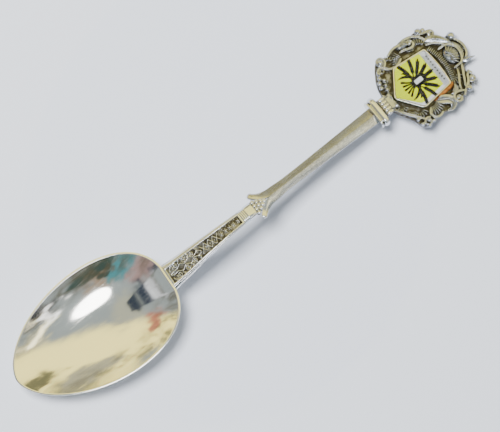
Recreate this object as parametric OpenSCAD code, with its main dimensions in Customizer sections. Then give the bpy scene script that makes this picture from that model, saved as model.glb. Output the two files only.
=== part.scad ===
// Souvenir spoon: a polished bowl, a relief neck, a ridged stem and a cast
// cartouche that carries a small enamelled shield under a clear dome.
// The spoon lies on a table at z = 0, its length runs along X and the bowl's
// hollow faces +Z. The origin is the middle of its outline, at table height.

/* [Bowl] */
// Length of the bowl from its tip to its heel
bowl_len = 37.2; // [30:0.2:48]
// Width of the bowl where it is widest
bowl_w = 24; // [18:0.5:32]
// Depth of the hollow below the rim
bowl_depth = 5.3; // [3.5:0.1:8]
// Thickness of the bowl at its middle
bowl_wall = 0.9; // [0.6:0.1:1.6]
// Height of the outer edge of the rim
rim_edge = 0.45; // [0.3:0.05:0.8]
// Width of the bright bevel round the rim
rim_lip = 0.5; // [0.3:0.05:1]
// How much higher the rim is at the heel than at the tip
rim_rise = 2; // [0:0.1:4]
// Sideways set of the bowl against the handle, in degrees
bowl_turn = 4.5; // [-6:0.5:6]

/* [Neck] */
// Length of the relief neck from the heel to the cup
neck_len = 18.8; // [12:0.2:26]
// Width of the neck at the bowl's heel
heel_w = 5.8; // [4:0.1:7]
// Thickness of the neck at the bowl's heel
heel_h = 2.3; // [1.6:0.1:3]
// Width of the neck at the cup
neck_w = 3; // [2.4:0.1:4]
// Thickness of the neck at the cup
neck_h = 2; // [1.6:0.1:3]
// Height of the handle's centre line above the table at the cup
crown_h = 9.4; // [8:0.1:14]

/* [Cup and beads] */
// Length of the three turned lines at the neck's end
lines_len = 1.2; // [0.8:0.1:2]
// Length of the plain cup
cup_len = 2; // [1.2:0.1:3]
// Width of the plain cup
cup_w = 3.3; // [2.8:0.1:4.2]
// Length of the bead cluster
bead_len = 1.4; // [1:0.1:2]
// Radius of one bead
bead_r = 0.5; // [0.35:0.05:0.7]

/* [Stem] */
// Length of the stem from the beads to the collar
stem_len = 30; // [22:0.5:42]
// Width of the stem at its lower end
stem_low_w = 3.1; // [2.4:0.1:3.8]
// Width of the stem where it is thinnest
stem_waist_w = 2.7; // [1.9:0.1:3.2]
// Width of the stem at the collar
stem_top_w = 3.6; // [2.8:0.1:4.5]
// Thickness of the stem
stem_h = 2.3; // [2.1:0.1:3]
// Distance of each curled arm's ball from the middle
flare_y = 2.8; // [2.6:0.1:3.8]
// Length of the curled arms
flare_len = 5; // [3.5:0.1:7]

/* [Collar and capital] */
// Width of the collar's broad flange
collar_w = 6.8; // [5:0.1:8]
// Height of the collar's broad flange
collar_h = 3.4; // [3:0.1:4.5]
// Length of the collar
collar_len = 2.2; // [1.6:0.1:3]
// Width of the ribbed capital
capital_w = 4.2; // [3.6:0.1:5.5]
// Length of the ribbed capital
capital_len = 1.8; // [1.2:0.1:3]
// Radius of the tang that ties stem, collar, capital and cartouche
tang_r = 0.7; // [0.5:0.05:0.8]
// Depth of the tang inside the stem
tang_deep = 4; // [2:0.5:8]
// Gap around the tang in its bores, filled by solder
tang_gap = 0.03; // [0.02:0.01:0.06]

/* [Cartouche] */
// Length of the cartouche
crest_len = 21; // [17:0.5:27]
// Width of the cartouche over its scrolls
crest_w = 18.4; // [15:0.2:24]
// Thickness of the cartouche's back plate
crest_plate = 1.1; // [0.8:0.1:1.6]
// Height of the scrolls above the back plate
scroll_h = 1.5; // [0.8:0.1:2.4]

/* [Shield] */
// Length of the shield from its point to the middle of its top edge
shield_len = 12; // [9:0.2:15]
// Width of the shield at its shoulders
shield_w = 10.6; // [8:0.2:13]
// Width of the shield at its top edge
shield_top_w = 9; // [7:0.2:12]
// Height of the metal tray under the enamel
tray_h = 1; // [0.7:0.05:1.5]
// Width of the tray's rim
tray_rim = 0.3; // [0.2:0.05:0.5]
// Thickness of the enamel
enamel_h = 0.35; // [0.2:0.05:0.5]
// Height of the clear dome above the tray's rim
dome_h = 0.6; // [0.3:0.05:1]
// Thickness of the adhesive under the tray
glue_h = 0.25; // [0.1:0.05:0.4]
// Gap between the shield and the scrolls
shield_gap = 0.3; // [0.2:0.05:0.6]

/* [Hidden] */
$fn = 48;
silver = [0.78, 0.76, 0.7];
old_silver = [0.62, 0.6, 0.54];

// The bowl's outline is width = u^tip_power * (1 - u)^heel_power, u from tip to heel.
tip_power = 0.57;
heel_power = 0.4;
peak_u = tip_power / (tip_power + heel_power);
peak = pow(peak_u, tip_power) * pow(1 - peak_u, heel_power);
end_u = 1 - pow(heel_w / bowl_w * peak, 1 / heel_power);
half_steps = 26;
rings = 10;
hollow_power = 2.3;
heel_reach = 1.6;
deep_u = 0.56;

function lerp(a, b, t) = a + (b - a) * t;
function half_width(u) = bowl_w / 2 * pow(u, tip_power) * pow(1 - u, heel_power) / peak;
function step_u(i) = end_u * (1 - cos(180 * i / half_steps)) / 2;
function rim_point(i) = let (u = step_u(i)) [bowl_len * (u / end_u - 1), half_width(u)];
outline = concat([for (i = [0 : half_steps]) rim_point(i)], [[0, 0]],
    [for (i = [half_steps : -1 : 1]) [rim_point(i)[0], -rim_point(i)[1]]]);
around = len(outline);
deepest = [bowl_len * (deep_u - 1), 0];
function rim_z(x) = rim_rise * x / bowl_len;
function hollow(r) = 1 - pow(r, hollow_power);
function heel_share(p) = exp(-pow(max(0, norm(p) - heel_w / 2) / heel_reach, 2));
function edge_h(i) = lerp(rim_edge, heel_h, heel_share(outline[i]));
function inner_xy(i, r) = let (d = outline[i] - deepest, lip = outline[i][0] > -0.01 ? 0 : rim_lip)
    deepest + d * r * (1 - lip / norm(d));
function outer_xy(i, r) = deepest + (outline[i] - deepest) * r;
function inner_point(i, r) = let (p = inner_xy(i, r)) [p[0], p[1], rim_z(p[0]) - bowl_depth * hollow(r)];
function outer_point(i, r) = let (p = outer_xy(i, r), e = edge_h(i))
    [p[0], p[1], rim_z(p[0]) - e - (bowl_depth + bowl_wall - e) * hollow(r)];
bowl_rings = concat(
    [for (k = [1 : rings]) [for (i = [0 : around - 1]) inner_point(i, sin(90 * k / rings))]],
    [[for (i = [0 : around - 1]) [outline[i][0], outline[i][1], rim_z(outline[i][0]) - 0.05]]],
    [for (k = [rings : -1 : 1]) [for (i = [0 : around - 1]) outer_point(i, sin(90 * k / rings))]]);
lowest = min([for (ring = bowl_rings) for (p = ring) p[2]]);
heel_top = -lowest;

// The handle frame starts at the neck's upper end and slopes down to the table,
// so that the far end of the cartouche rests on it.
cup_at = 0;
beads_at = lines_len + cup_len;
stem_at = beads_at + bead_len;
collar_at = stem_at + stem_len;
capital_at = collar_at + collar_len;
crest_at = capital_at + capital_len;
handle_len = crest_at + crest_len;
plate_low = -1.3;
plate_top = plate_low + crest_plate;
scroll_top = plate_top + scroll_h;
stem_pitch = asin(crown_h / norm([handle_len, plate_low])) - atan(-plate_low / handle_len);

// Middle of the outline, which becomes the origin.
turned = [for (p = outline) [p[0] * cos(bowl_turn) + p[1] * sin(bowl_turn),
    -p[0] * sin(bowl_turn) + p[1] * cos(bowl_turn)]];
x_low = min([for (p = turned) p[0]]);
x_high = neck_len + handle_len * cos(stem_pitch) + plate_top * sin(stem_pitch);
y_low = min([for (p = turned) p[1]]);
y_high = max([for (p = turned) p[1]]);
middle = [(x_low + x_high) / 2, (y_low + y_high) / 2, 0];

// A closed skin over a list of rings that all have the same number of points.
module loft(ring_list) {
    n = len(ring_list[0]);
    last = len(ring_list) - 1;
    points = [for (ring = ring_list) for (p = ring) p];
    sides = [for (k = [0 : last - 1]) for (i = [0 : n - 1]) let (j = (i + 1) % n, a = k * n, b = a + n)
        each [[a + i, b + i, b + j], [a + i, b + j, a + j]]];
    start = [[for (i = [0 : n - 1]) i]];
    finish = [[for (i = [n - 1 : -1 : 0]) last * n + i]];
    polyhedron(points, concat(sides, start, finish));
}

// Moves a piece from the heel's frame, whose origin is the heel's top edge, to its place.
module from_heel() {
    translate(-middle) translate([0, 0, heel_top]) children();
}

// Moves a piece from the handle frame to its place.
module from_handle(x = 0) {
    translate(-middle) translate([neck_len, 0, crown_h]) rotate([0, stem_pitch, 0]) translate([x, 0, 0]) children();
}

// A bar along X whose section has half-round sides.
module oblong_bar(w, h, length) {
    rotate([90, 0, 90]) linear_extrude(length) {
        square([w - h, h], center = true);
        translate([(w - h) / 2, 0]) circle(d = h);
        translate([(h - w) / 2, 0]) circle(d = h);
    }
}

module tang_bore(from, length) {
    translate([from, 0, 0]) rotate([0, 90, 0]) cylinder(r = tang_r + tang_gap, h = length);
}

module bowl() {
    n = around;
    count = len(bowl_rings);
    floor_in = [deepest[0], 0, rim_z(deepest[0]) - bowl_depth];
    floor_out = [deepest[0], 0, rim_z(deepest[0]) - bowl_depth - bowl_wall];
    points = concat([for (ring = bowl_rings) for (p = ring) p], [floor_in, floor_out]);
    sides = [for (k = [0 : count - 2]) for (i = [0 : n - 1]) let (j = (i + 1) % n, a = k * n, b = a + n)
        each [[a + i, b + i, b + j], [a + i, b + j, a + j]]];
    fan_in = [for (i = [0 : n - 1]) [count * n, i, (i + 1) % n]];
    fan_out = [for (i = [0 : n - 1]) [count * n + 1, (count - 1) * n + (i + 1) % n, (count - 1) * n + i]];
    color(silver) from_heel() rotate([0, 0, -bowl_turn]) polyhedron(points, concat(sides, fan_in, fan_out));
}

// The neck is lofted from the turned heel face to the upright face of the cup.
neck_steps = 14;
section_steps = 24;
section_power = 0.4;
function signed_pow(v, e) = sign(v) * pow(abs(v), e);
function section(w, h) = [for (i = [0 : section_steps - 1]) let (t = 360 * i / section_steps)
    [w / 2 * signed_pow(cos(t), section_power), h / 2 * signed_pow(sin(t), section_power)]];
function ease(t) = t * t * (3 - 2 * t);
neck_end_z = crown_h - heel_top;
heel_slope = 0.24;
function neck_z(t) = let (start = -heel_h / 2, end_slope = -tan(stem_pitch))
    start * (1 - ease(t)) + neck_end_z * ease(t) + neck_len * (heel_slope * t * pow(1 - t, 2)
    - end_slope * pow(t, 2) * (1 - t));
function neck_ring(t) = let (w = lerp(heel_w, neck_w, pow(t, 0.8)), h = lerp(heel_h, neck_h, t),
    yaw = -bowl_turn * pow(1 - t, 3), lean = stem_pitch * pow(t, 3))
    [for (p = section(w, h)) [neck_len * t + p[0] * -sin(yaw) + p[1] * sin(lean), p[0] * cos(yaw),
        neck_z(t) + p[1] * cos(lean)]];

module neck() {
    color(old_silver) from_heel() loft([for (k = [neck_steps : -1 : 0]) neck_ring(k / neck_steps)]);
}

module cup() {
    line = lines_len / 6;
    color(silver) from_handle(cup_at) {
        oblong_bar(neck_w, neck_h, lines_len);
        for (k = [0 : 2]) translate([(2 * k + 0.5) * line, 0, 0]) oblong_bar(neck_w + 0.2, neck_h + 0.2, line);
        translate([lines_len, 0, 0]) oblong_bar(cup_w, neck_h + 0.4, cup_len);
    }
}

module bead_cluster() {
    core_w = 2.2;
    core_h = 1.4;
    color(silver) from_handle(beads_at) {
        oblong_bar(core_w, core_h, bead_len);
        for (y = [-1.5, -0.5, 0.5, 1.5]) for (side = [-1, 1])
            translate([bead_len / 2, y * bead_r * 1.6, side * core_h / 2]) sphere(bead_r);
    }
}

// The stem's section is a low roof: flat back, upright sides and a ridge along the top.
stem_side_top = 0.25;
stem_waist = 0.3;
function stem_w(t) = t < stem_waist ? lerp(stem_low_w, stem_waist_w, sin(90 * t / stem_waist))
    : lerp(stem_waist_w, stem_top_w, pow((t - stem_waist) / (1 - stem_waist), 1.2));
function stem_ring(t) = let (w = stem_w(t) / 2, h = stem_h / 2, x = stem_len * t)
    [[x, -w, -h], [x, w, -h], [x, w, stem_side_top], [x, 0, h], [x, -w, stem_side_top]];
stem_steps = 12;
arm_root_y = stem_low_w / 2 - 0.5;
arm_r = 0.65;
arm_angle = 2 * atan((flare_y - arm_root_y) / flare_len);
arm_bend = flare_len / sin(arm_angle);
arm_back = 0.9;

module flare_arm() {
    translate([flare_len - arm_back, -arm_root_y - arm_bend, 0])
        rotate([0, 0, 90]) rotate_extrude(angle = arm_angle) translate([arm_bend, 0]) circle(arm_r);
    translate([-arm_back, -flare_y, 0]) sphere(arm_r * 1.15);
}

module stem() {
    color(silver) from_handle(stem_at) difference() {
        union() {
            loft([for (k = [0 : stem_steps]) stem_ring(k / stem_steps)]);
            flare_arm();
            mirror([0, 1, 0]) flare_arm();
        }
        tang_bore(stem_len - tang_deep, tang_deep + 1);
    }
}

module collar() {
    ring = collar_len * 0.25;
    groove = collar_len * 0.15;
    color(silver) from_handle(collar_at) difference() {
        union() {
            oblong_bar(collar_w * 0.9, collar_h * 0.85, ring);
            translate([ring, 0, 0]) oblong_bar(collar_w * 0.8, collar_h * 0.7, groove);
            translate([ring + groove, 0, 0]) oblong_bar(collar_w, collar_h, collar_len - ring - groove);
        }
        tang_bore(-1, collar_len + 2);
    }
}

module capital() {
    rib_r = capital_w / 10;
    core_h = 2.4;
    color(old_silver) from_handle(capital_at) difference() {
        union() {
            oblong_bar(capital_w, core_h, capital_len);
            for (k = [-2 : 2]) for (side = [-1, 1])
                translate([0, k * rib_r * 1.6, side * core_h / 2]) rotate([0, 90, 0])
                    cylinder(r = rib_r, h = capital_len, $fn = 24);
        }
        tang_bore(-1, capital_len + 2);
    }
}

lug_len = 1.1;

module tang() {
    color("goldenrod") from_handle(collar_at - tang_deep) rotate([0, 90, 0])
        cylinder(r = tang_r, h = tang_deep + collar_len + capital_len + lug_len / 2);
}

// The shield is drawn in the cartouche's frame, its point towards the bowl.
shield_at = 1.4;
shoulder_x = 3.9 / 12 * shield_len;
top_bulge = 0.35;
shield_points = concat([[0, 0], [shoulder_x, -shield_w / 2]],
    [for (k = [-3 : 3]) [shield_len - top_bulge * pow(k / 3, 2), k / 3 * shield_top_w / 2]],
    [[shoulder_x, shield_w / 2]]);
function edge_normal(a, b) = let (d = (b - a) / norm(b - a)) [-d[1], d[0]];
function inset(list, d) = let (n = len(list)) [for (i = [0 : n - 1])
    let (p = list[i], m = edge_normal(list[(i + n - 1) % n], p), q = edge_normal(p, list[(i + 1) % n]))
    p + d * (m + q) / (1 + m * q)];

module shield_2d(d = 0) {
    translate([shield_at, 0]) polygon(inset(shield_points, d));
}

glue_low = plate_top;
tray_low = glue_low + glue_h;
enamel_low = tray_low + tray_h - enamel_h - 0.1;
enamel_top = enamel_low + enamel_h;
chief_x = shield_at + shield_len * 0.84;

// Scrolls, balls and beads round the frame, each as x and y in shares of the length and width,
// then its radius and its height above the plate in shares of the scrolls' height.
round_work = [
    [0.17, 0.42, 1.4, 1], [0.33, 0.38, 1.5, 0.8], [0.48, 0.4, 1.5, 1], [0.63, 0.43, 1.2, 0.9],
    [0.73, 0.36, 1.2, 0.9], [0.89, 0.16, 1.1, 0.9], [0.9, -0.13, 1.2, 0.7], [0.82, -0.34, 1.2, 0.9],
    [0.75, -0.43, 1.2, 0.9], [0.6, -0.41, 1.6, 1], [0.49, -0.42, 1.4, 0.8], [0.35, -0.38, 1.4, 0.9],
    [0.2, -0.42, 1.3, 0.9], [0.1, -0.26, 1.4, 0.7], [0.08, 0.2, 1.3, 0.7]];
helmet_x = 0.8;
helmet_r = 2.3;
foot_len = 3;
foot_w = 6;

module frame_2d() {
    for (share = [0.38, 0.6]) translate([crest_len * share, 0]) circle(crest_w * 0.41);
    translate([0, -capital_w / 2]) square([crest_len * 0.5, capital_w]);
    for (s = round_work) translate([s[0] * crest_len, s[1] * crest_w]) circle(s[2]);
    translate([crest_len - foot_len, -foot_w / 2]) square([foot_len, foot_w]);
}

module cartouche() {
    color(old_silver) from_handle(crest_at) {
        difference() {
            union() {
                translate([0, 0, plate_low]) linear_extrude(crest_plate) frame_2d();
                translate([0, 0, plate_top]) difference() {
                    linear_extrude(scroll_h * 0.5) intersection() {
                        frame_2d();
                        translate([0, -crest_w / 2]) square([crest_len - 1, crest_w]);
                    }
                    linear_extrude(scroll_h) shield_2d(-shield_gap);
                }
                for (s = round_work) translate([s[0] * crest_len, s[1] * crest_w, plate_low])
                    cylinder(r = s[2] * 0.75, h = crest_plate + scroll_h * s[3], $fn = 32);
                translate([helmet_x * crest_len, 0, plate_top]) intersection() {
                    sphere(helmet_r);
                    translate([0, 0, helmet_r / 2]) cube([helmet_r * 2, helmet_r * 2, helmet_r], center = true);
                }
                translate([0, -capital_w / 2, plate_low]) cube([lug_len, capital_w, crest_plate + scroll_h]);
            }
            tang_bore(-1, 1 + lug_len / 2);
        }
    }
}

module glue_bed() {
    spill = [[0.55, 1], [0.7, 1.1], [0.84, 0.9]];
    color([0.55, 0.28, 0.06]) from_handle(crest_at) {
        translate([0, 0, glue_low]) linear_extrude(glue_h) shield_2d(0.2);
        translate([0, 0, glue_low]) intersection() {
            linear_extrude(glue_h) shield_2d(-shield_gap + 0.05);
            for (s = spill) translate([shield_at + shield_len * s[0], -shield_w * 0.46, 0]) cylinder(r = s[1], h = 2);
        }
    }
}

module shield_tray() {
    color(silver) from_handle(crest_at) translate([0, 0, tray_low]) difference() {
        linear_extrude(tray_h) shield_2d();
        translate([0, 0, enamel_low - tray_low]) linear_extrude(tray_h) shield_2d(tray_rim);
    }
}

// Wheat sheaf: fanned ears above a band and fanned stalks below it, along the shield's length.
sheaf_x = shield_at + shield_len * 0.54;
band_w = 1;
band_len = 1.9;
core_w = 1.8;
module stalk_2d(angle, reach, w) {
    rotate(angle) translate([0, -w / 2]) square([reach, w]);
}

module sheaf_2d() {
    translate([sheaf_x, 0]) difference() {
        union() {
            for (k = [-3 : 3]) stalk_2d(k * 14, shield_len * (0.29 - 0.012 * abs(k)), 0.55);
            for (k = [-2 : 2]) stalk_2d(180 + k * 16, shield_len * 0.3, 0.5);
            scale([band_len * 0.75, core_w / 2]) circle(1, $fn = 24);
        }
        band_2d();
    }
}

module band_2d() {
    square([band_len, band_w], center = true);
}

module enamel_field() {
    color([0.93, 0.9, 0.12]) from_handle(crest_at) translate([0, 0, enamel_low]) linear_extrude(enamel_h)
        difference() {
            shield_2d(tray_rim);
            translate([chief_x, -shield_w]) square([shield_len, 2 * shield_w]);
            sheaf_2d();
            translate([sheaf_x, 0]) band_2d();
        }
}

module enamel_chief() {
    color([0.94, 0.94, 0.93]) from_handle(crest_at) translate([0, 0, enamel_low]) linear_extrude(enamel_h)
        intersection() {
            shield_2d(tray_rim);
            translate([chief_x, -shield_w]) square([shield_len, 2 * shield_w]);
        }
}

module enamel_sheaf() {
    color([0.06, 0.06, 0.07]) from_handle(crest_at) translate([0, 0, enamel_low]) linear_extrude(enamel_h)
        sheaf_2d();
}

module enamel_band() {
    color([0.92, 0.92, 0.96]) from_handle(crest_at) translate([0, 0, enamel_low]) linear_extrude(enamel_h)
        translate([sheaf_x, 0]) band_2d();
}

// The dome stands on the enamel inside the tray's rim and closes in a shallow crown.
dome_steps = 6;
dome_edge = 1.6;
dome_wall = enamel_low + enamel_h;
module resin_dome() {
    rim_top = tray_low + tray_h;
    color([0.95, 0.95, 0.9, 0.4]) from_handle(crest_at) translate([shield_at, 0, 0]) loft(concat(
        [[for (p = inset(shield_points, tray_rim)) [p[0], p[1], dome_wall]]],
        [for (k = [0 : dome_steps]) let (t = k / dome_steps, z = rim_top + dome_h * sin(90 * t))
            [for (p = inset(shield_points, tray_rim + dome_edge * (1 - cos(90 * t)))) [p[0], p[1], z]]]));
}

bowl();
neck();
cup();
bead_cluster();
stem();
collar();
capital();
tang();
cartouche();
glue_bed();
shield_tray();
enamel_field();
enamel_chief();
enamel_sheaf();
enamel_band();
resin_dome();
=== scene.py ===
import math

import bmesh
import bpy
import numpy as np
from bpy.props import BoolProperty, FloatProperty, FloatVectorProperty, IntProperty, PointerProperty
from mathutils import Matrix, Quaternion, Vector


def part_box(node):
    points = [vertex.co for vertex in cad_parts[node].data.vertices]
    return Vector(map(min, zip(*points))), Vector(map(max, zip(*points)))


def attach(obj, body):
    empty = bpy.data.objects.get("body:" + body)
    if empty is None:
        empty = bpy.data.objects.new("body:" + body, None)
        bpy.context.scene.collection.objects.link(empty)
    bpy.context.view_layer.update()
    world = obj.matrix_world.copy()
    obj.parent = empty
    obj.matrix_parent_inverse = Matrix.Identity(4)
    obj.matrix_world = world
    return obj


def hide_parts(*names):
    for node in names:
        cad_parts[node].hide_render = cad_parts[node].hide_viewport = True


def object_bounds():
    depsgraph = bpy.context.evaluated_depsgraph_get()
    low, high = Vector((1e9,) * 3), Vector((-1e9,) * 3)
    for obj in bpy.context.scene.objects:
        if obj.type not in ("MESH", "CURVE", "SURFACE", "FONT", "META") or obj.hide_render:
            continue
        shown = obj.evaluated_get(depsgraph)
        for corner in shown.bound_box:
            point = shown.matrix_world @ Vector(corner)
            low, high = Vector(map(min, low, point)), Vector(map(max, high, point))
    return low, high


bl_info = {
    "name": "Souvenir Spoon",
    "version": (1, 0, 0),
    "blender": (4, 5, 0),
    "location": "3D View > Sidebar > Spoon",
    "description": "Builds a silver souvenir spoon with a relief neck and an enamelled shield",
    "category": "Add Mesh",
}

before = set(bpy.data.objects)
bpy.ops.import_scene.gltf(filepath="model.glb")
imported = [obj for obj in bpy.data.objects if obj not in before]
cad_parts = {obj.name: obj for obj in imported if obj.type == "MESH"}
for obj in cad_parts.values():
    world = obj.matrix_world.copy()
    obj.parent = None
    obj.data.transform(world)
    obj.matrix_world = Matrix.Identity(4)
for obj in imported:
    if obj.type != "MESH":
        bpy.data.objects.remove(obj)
cad_low, cad_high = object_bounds()

MM = 0.001
TAU = 2 * math.pi


# --- places -------------------------------------------------------------------------------


def middle_of(node):
    """The middle of a frame node's box, in metres."""
    low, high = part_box(node)
    return (low + high) / 2


def node_points(node):
    """Every corner of a frame node, in metres."""
    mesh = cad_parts[node].data
    flat = np.empty(len(mesh.vertices) * 3)
    mesh.vertices.foreach_get("co", flat)
    return flat.reshape(-1, 3)


class HandleFrame:
    """The handle's own axes: x runs from the neck to the cartouche, z stands up from its face."""

    def __init__(self):
        run = middle_of("capital") - middle_of("cup")
        self.along = np.array(run.normalized())
        self.across = np.array((0.0, 1.0, 0.0))
        self.upward = np.cross(self.along, self.across)
        foot = np.array(middle_of("cup"))
        start = ((node_points("cup") - foot) @ self.along).min()
        self.origin = foot + self.along * start

    def span(self, node, axis=None):
        """Where a frame node starts and ends along an axis of the handle, in millimetres."""
        axis = self.along if axis is None else axis
        reach = (node_points(node) - self.origin) @ axis / MM
        return float(reach.min()), float(reach.max())

    def place(self, points, station=0.0):
        """Turns millimetres in the handle's axes into metres in the frame."""
        p = np.asarray(points, dtype=float)
        moved = np.outer(p[:, 0] + station, self.along) + np.outer(p[:, 1], self.across)
        return self.origin + MM * (moved + np.outer(p[:, 2], self.upward))


handle = HandleFrame()


# --- small mesh tools ---------------------------------------------------------------------


def mesh_from(name, points, faces, smooth=True):
    """A mesh from millimetre or metre points, with its doubles merged and its faces outwards."""
    mesh = bpy.data.meshes.new(name)
    mesh.from_pydata([tuple(p) for p in np.asarray(points, dtype=float)], [], faces)
    tidy_normals(mesh)
    mesh.polygons.foreach_set("use_smooth", [smooth] * len(mesh.polygons))
    return mesh


def tidy_normals(mesh, merge=1e-7):
    """Merges doubles and turns every face outwards."""
    work = bmesh.new()
    work.from_mesh(mesh)
    bmesh.ops.remove_doubles(work, verts=work.verts, dist=merge)
    bmesh.ops.recalc_face_normals(work, faces=work.faces)
    work.to_mesh(mesh)
    work.free()
    mesh.update()


def loft(rings, close=True):
    """Points and faces of a skin over rings that all have the same number of points."""
    count = len(rings[0])
    points = np.concatenate([np.asarray(ring, dtype=float) for ring in rings])
    faces = []
    for k in range(len(rings) - 1):
        for i in range(count):
            j = (i + 1) % count
            faces.append((k * count + i, k * count + j, (k + 1) * count + j, (k + 1) * count + i))
    if close:
        last = (len(rings) - 1) * count
        faces.append(tuple(range(count)))
        faces.append(tuple(range(last + count - 1, last - 1, -1)))
    return points, faces


def read_points(mesh):
    """A mesh's points as an array."""
    flat = np.empty(len(mesh.vertices) * 3)
    mesh.vertices.foreach_get("co", flat)
    return flat.reshape(-1, 3)


def write_points(mesh, points):
    """Puts an array of points back into a mesh."""
    mesh.vertices.foreach_set("co", np.asarray(points, dtype=float).ravel())
    mesh.update()


def join(name, meshes):
    """One mesh out of several, with their faces kept as they are."""
    points, faces, start = [], [], 0
    for mesh in meshes:
        points.append(read_points(mesh))
        faces += [tuple(start + v for v in f.vertices) for f in mesh.polygons]
        start += len(mesh.vertices)
    joined = bpy.data.meshes.new(name)
    joined.from_pydata(np.concatenate(points).tolist(), [], faces)
    joined.polygons.foreach_set("use_smooth", [True] * len(joined.polygons))
    return joined


def hand_over(mesh, name, finish, slot, *nodes):
    """Makes the finished piece, gives it its material and hides its frame nodes."""
    mesh.materials.clear()
    mesh.materials.append(finish)
    piece = bpy.data.objects.new(name, mesh)
    bpy.context.scene.collection.objects.link(piece)
    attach(piece, "root")
    if nodes:
        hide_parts(*nodes)
    return piece


def curve_through(knots, steps=8):
    """A smooth line through given knots of any number of values."""
    k = np.asarray(knots, dtype=float)
    k = np.vstack([2 * k[0] - k[1], k, 2 * k[-1] - k[-2]])
    out = []
    for a, b, c, d in zip(k[:-3], k[1:-2], k[2:-1], k[3:]):
        for s in np.arange(steps) / steps:
            out.append(0.5 * (2 * b + (c - a) * s + (2 * a - 5 * b + 4 * c - d) * s**2
                              + (3 * b - a - 3 * c + d) * s**3))
    out.append(k[-2])
    return np.array(out)


def sideways(line):
    """Unit directions across a line, to its left."""
    run = np.gradient(line[:, :2], axis=0)
    run = run / np.maximum(1e-9, np.linalg.norm(run, axis=1))[:, None]
    return np.stack([-run[:, 1], run[:, 0]], 1)


def inset_rings(outline, middle, steps):
    """Rings of an outline, each drawn in towards the middle and set at a height."""
    away = outline - middle
    far = np.linalg.norm(away, axis=1)[:, None]
    return [np.column_stack([middle + away * (1 - inset / far), np.full(len(away), z)])
            for inset, z in steps]


def signed_power(value, power):
    return np.sign(value) * np.abs(value) ** power


def ease(t):
    return t * t * (3 - 2 * t)


def soft_step(value, low, high):
    return ease(np.clip((value - low) / (high - low), 0, 1))


# --- geometry trees -----------------------------------------------------------------------


def new_tree(name, sizes):
    """A geometry tree with a geometry input, a material input and named sizes."""
    tree = bpy.data.node_groups.new(name, "GeometryNodeTree")
    tree.interface.new_socket("Geometry", in_out="INPUT", socket_type="NodeSocketGeometry")
    for label, value in sizes.items():
        kind = "NodeSocketInt" if isinstance(value, int) else "NodeSocketFloat"
        socket = tree.interface.new_socket(label, in_out="INPUT", socket_type=kind)
        socket.default_value = value
    tree.interface.new_socket("Material", in_out="INPUT", socket_type="NodeSocketMaterial")
    tree.interface.new_socket("Geometry", in_out="OUTPUT", socket_type="NodeSocketGeometry")
    tree.nodes.new("NodeGroupInput")
    tree.nodes.new("NodeGroupOutput")
    return tree


def add(tree, kind, inputs=None, **settings):
    """A node with its settings; an input is a plain value or another node's output."""
    node = tree.nodes.new(kind)
    for label, value in settings.items():
        setattr(node, label, value)
    for key, value in (inputs or {}).items():
        if isinstance(value, bpy.types.NodeSocket):
            tree.links.new(value, node.inputs[key])
        else:
            node.inputs[key].default_value = value
    return node


def group_input(tree, label):
    return tree.nodes["Group Input"].outputs[label]


def times(tree, a, b):
    return math_node(tree, "MULTIPLY", a, b)


def end_tree(tree, geometry):
    """Closes a geometry tree with real geometry and its material."""
    real = add(tree, "GeometryNodeRealizeInstances", {"Geometry": geometry})
    painted = add(tree, "GeometryNodeSetMaterial",
                  {"Geometry": real.outputs[0], "Material": group_input(tree, "Material")})
    tree.links.new(painted.outputs[0], tree.nodes["Group Output"].inputs[0])
    return tree


def math_node(tree, operation, a, b=0.0):
    return add(tree, "ShaderNodeMath", {0: a, 1: b}, operation=operation).outputs[0]


def vector_node(tree, operation, a, b):
    return add(tree, "ShaderNodeVectorMath", {0: a, 1: b}, operation=operation)


def bead_row_tree():
    """Beads in a row along Y, centred on the origin."""
    tree = new_tree("Bead Row", {"Count": 4, "Spacing": 1.0, "Bead Radius": 0.5})
    count, spacing = group_input(tree, "Count"), group_input(tree, "Spacing")
    gaps = math_node(tree, "SUBTRACT", count, 1.0)
    reach = times(tree, gaps, spacing)
    start = times(tree, reach, -0.5)
    first = add(tree, "ShaderNodeCombineXYZ", {"Y": start})
    step = add(tree, "ShaderNodeCombineXYZ", {"Y": spacing})
    line = add(tree, "GeometryNodeMeshLine",
               {"Count": count, "Start Location": first.outputs[0], "Offset": step.outputs[0]})
    bead = add(tree, "GeometryNodeMeshIcoSphere",
               {"Radius": group_input(tree, "Bead Radius"), "Subdivisions": 3})
    beads = add(tree, "GeometryNodeInstanceOnPoints",
                {"Points": line.outputs[0], "Instance": bead.outputs[0]})
    return end_tree(tree, beads.outputs[0])


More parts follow.
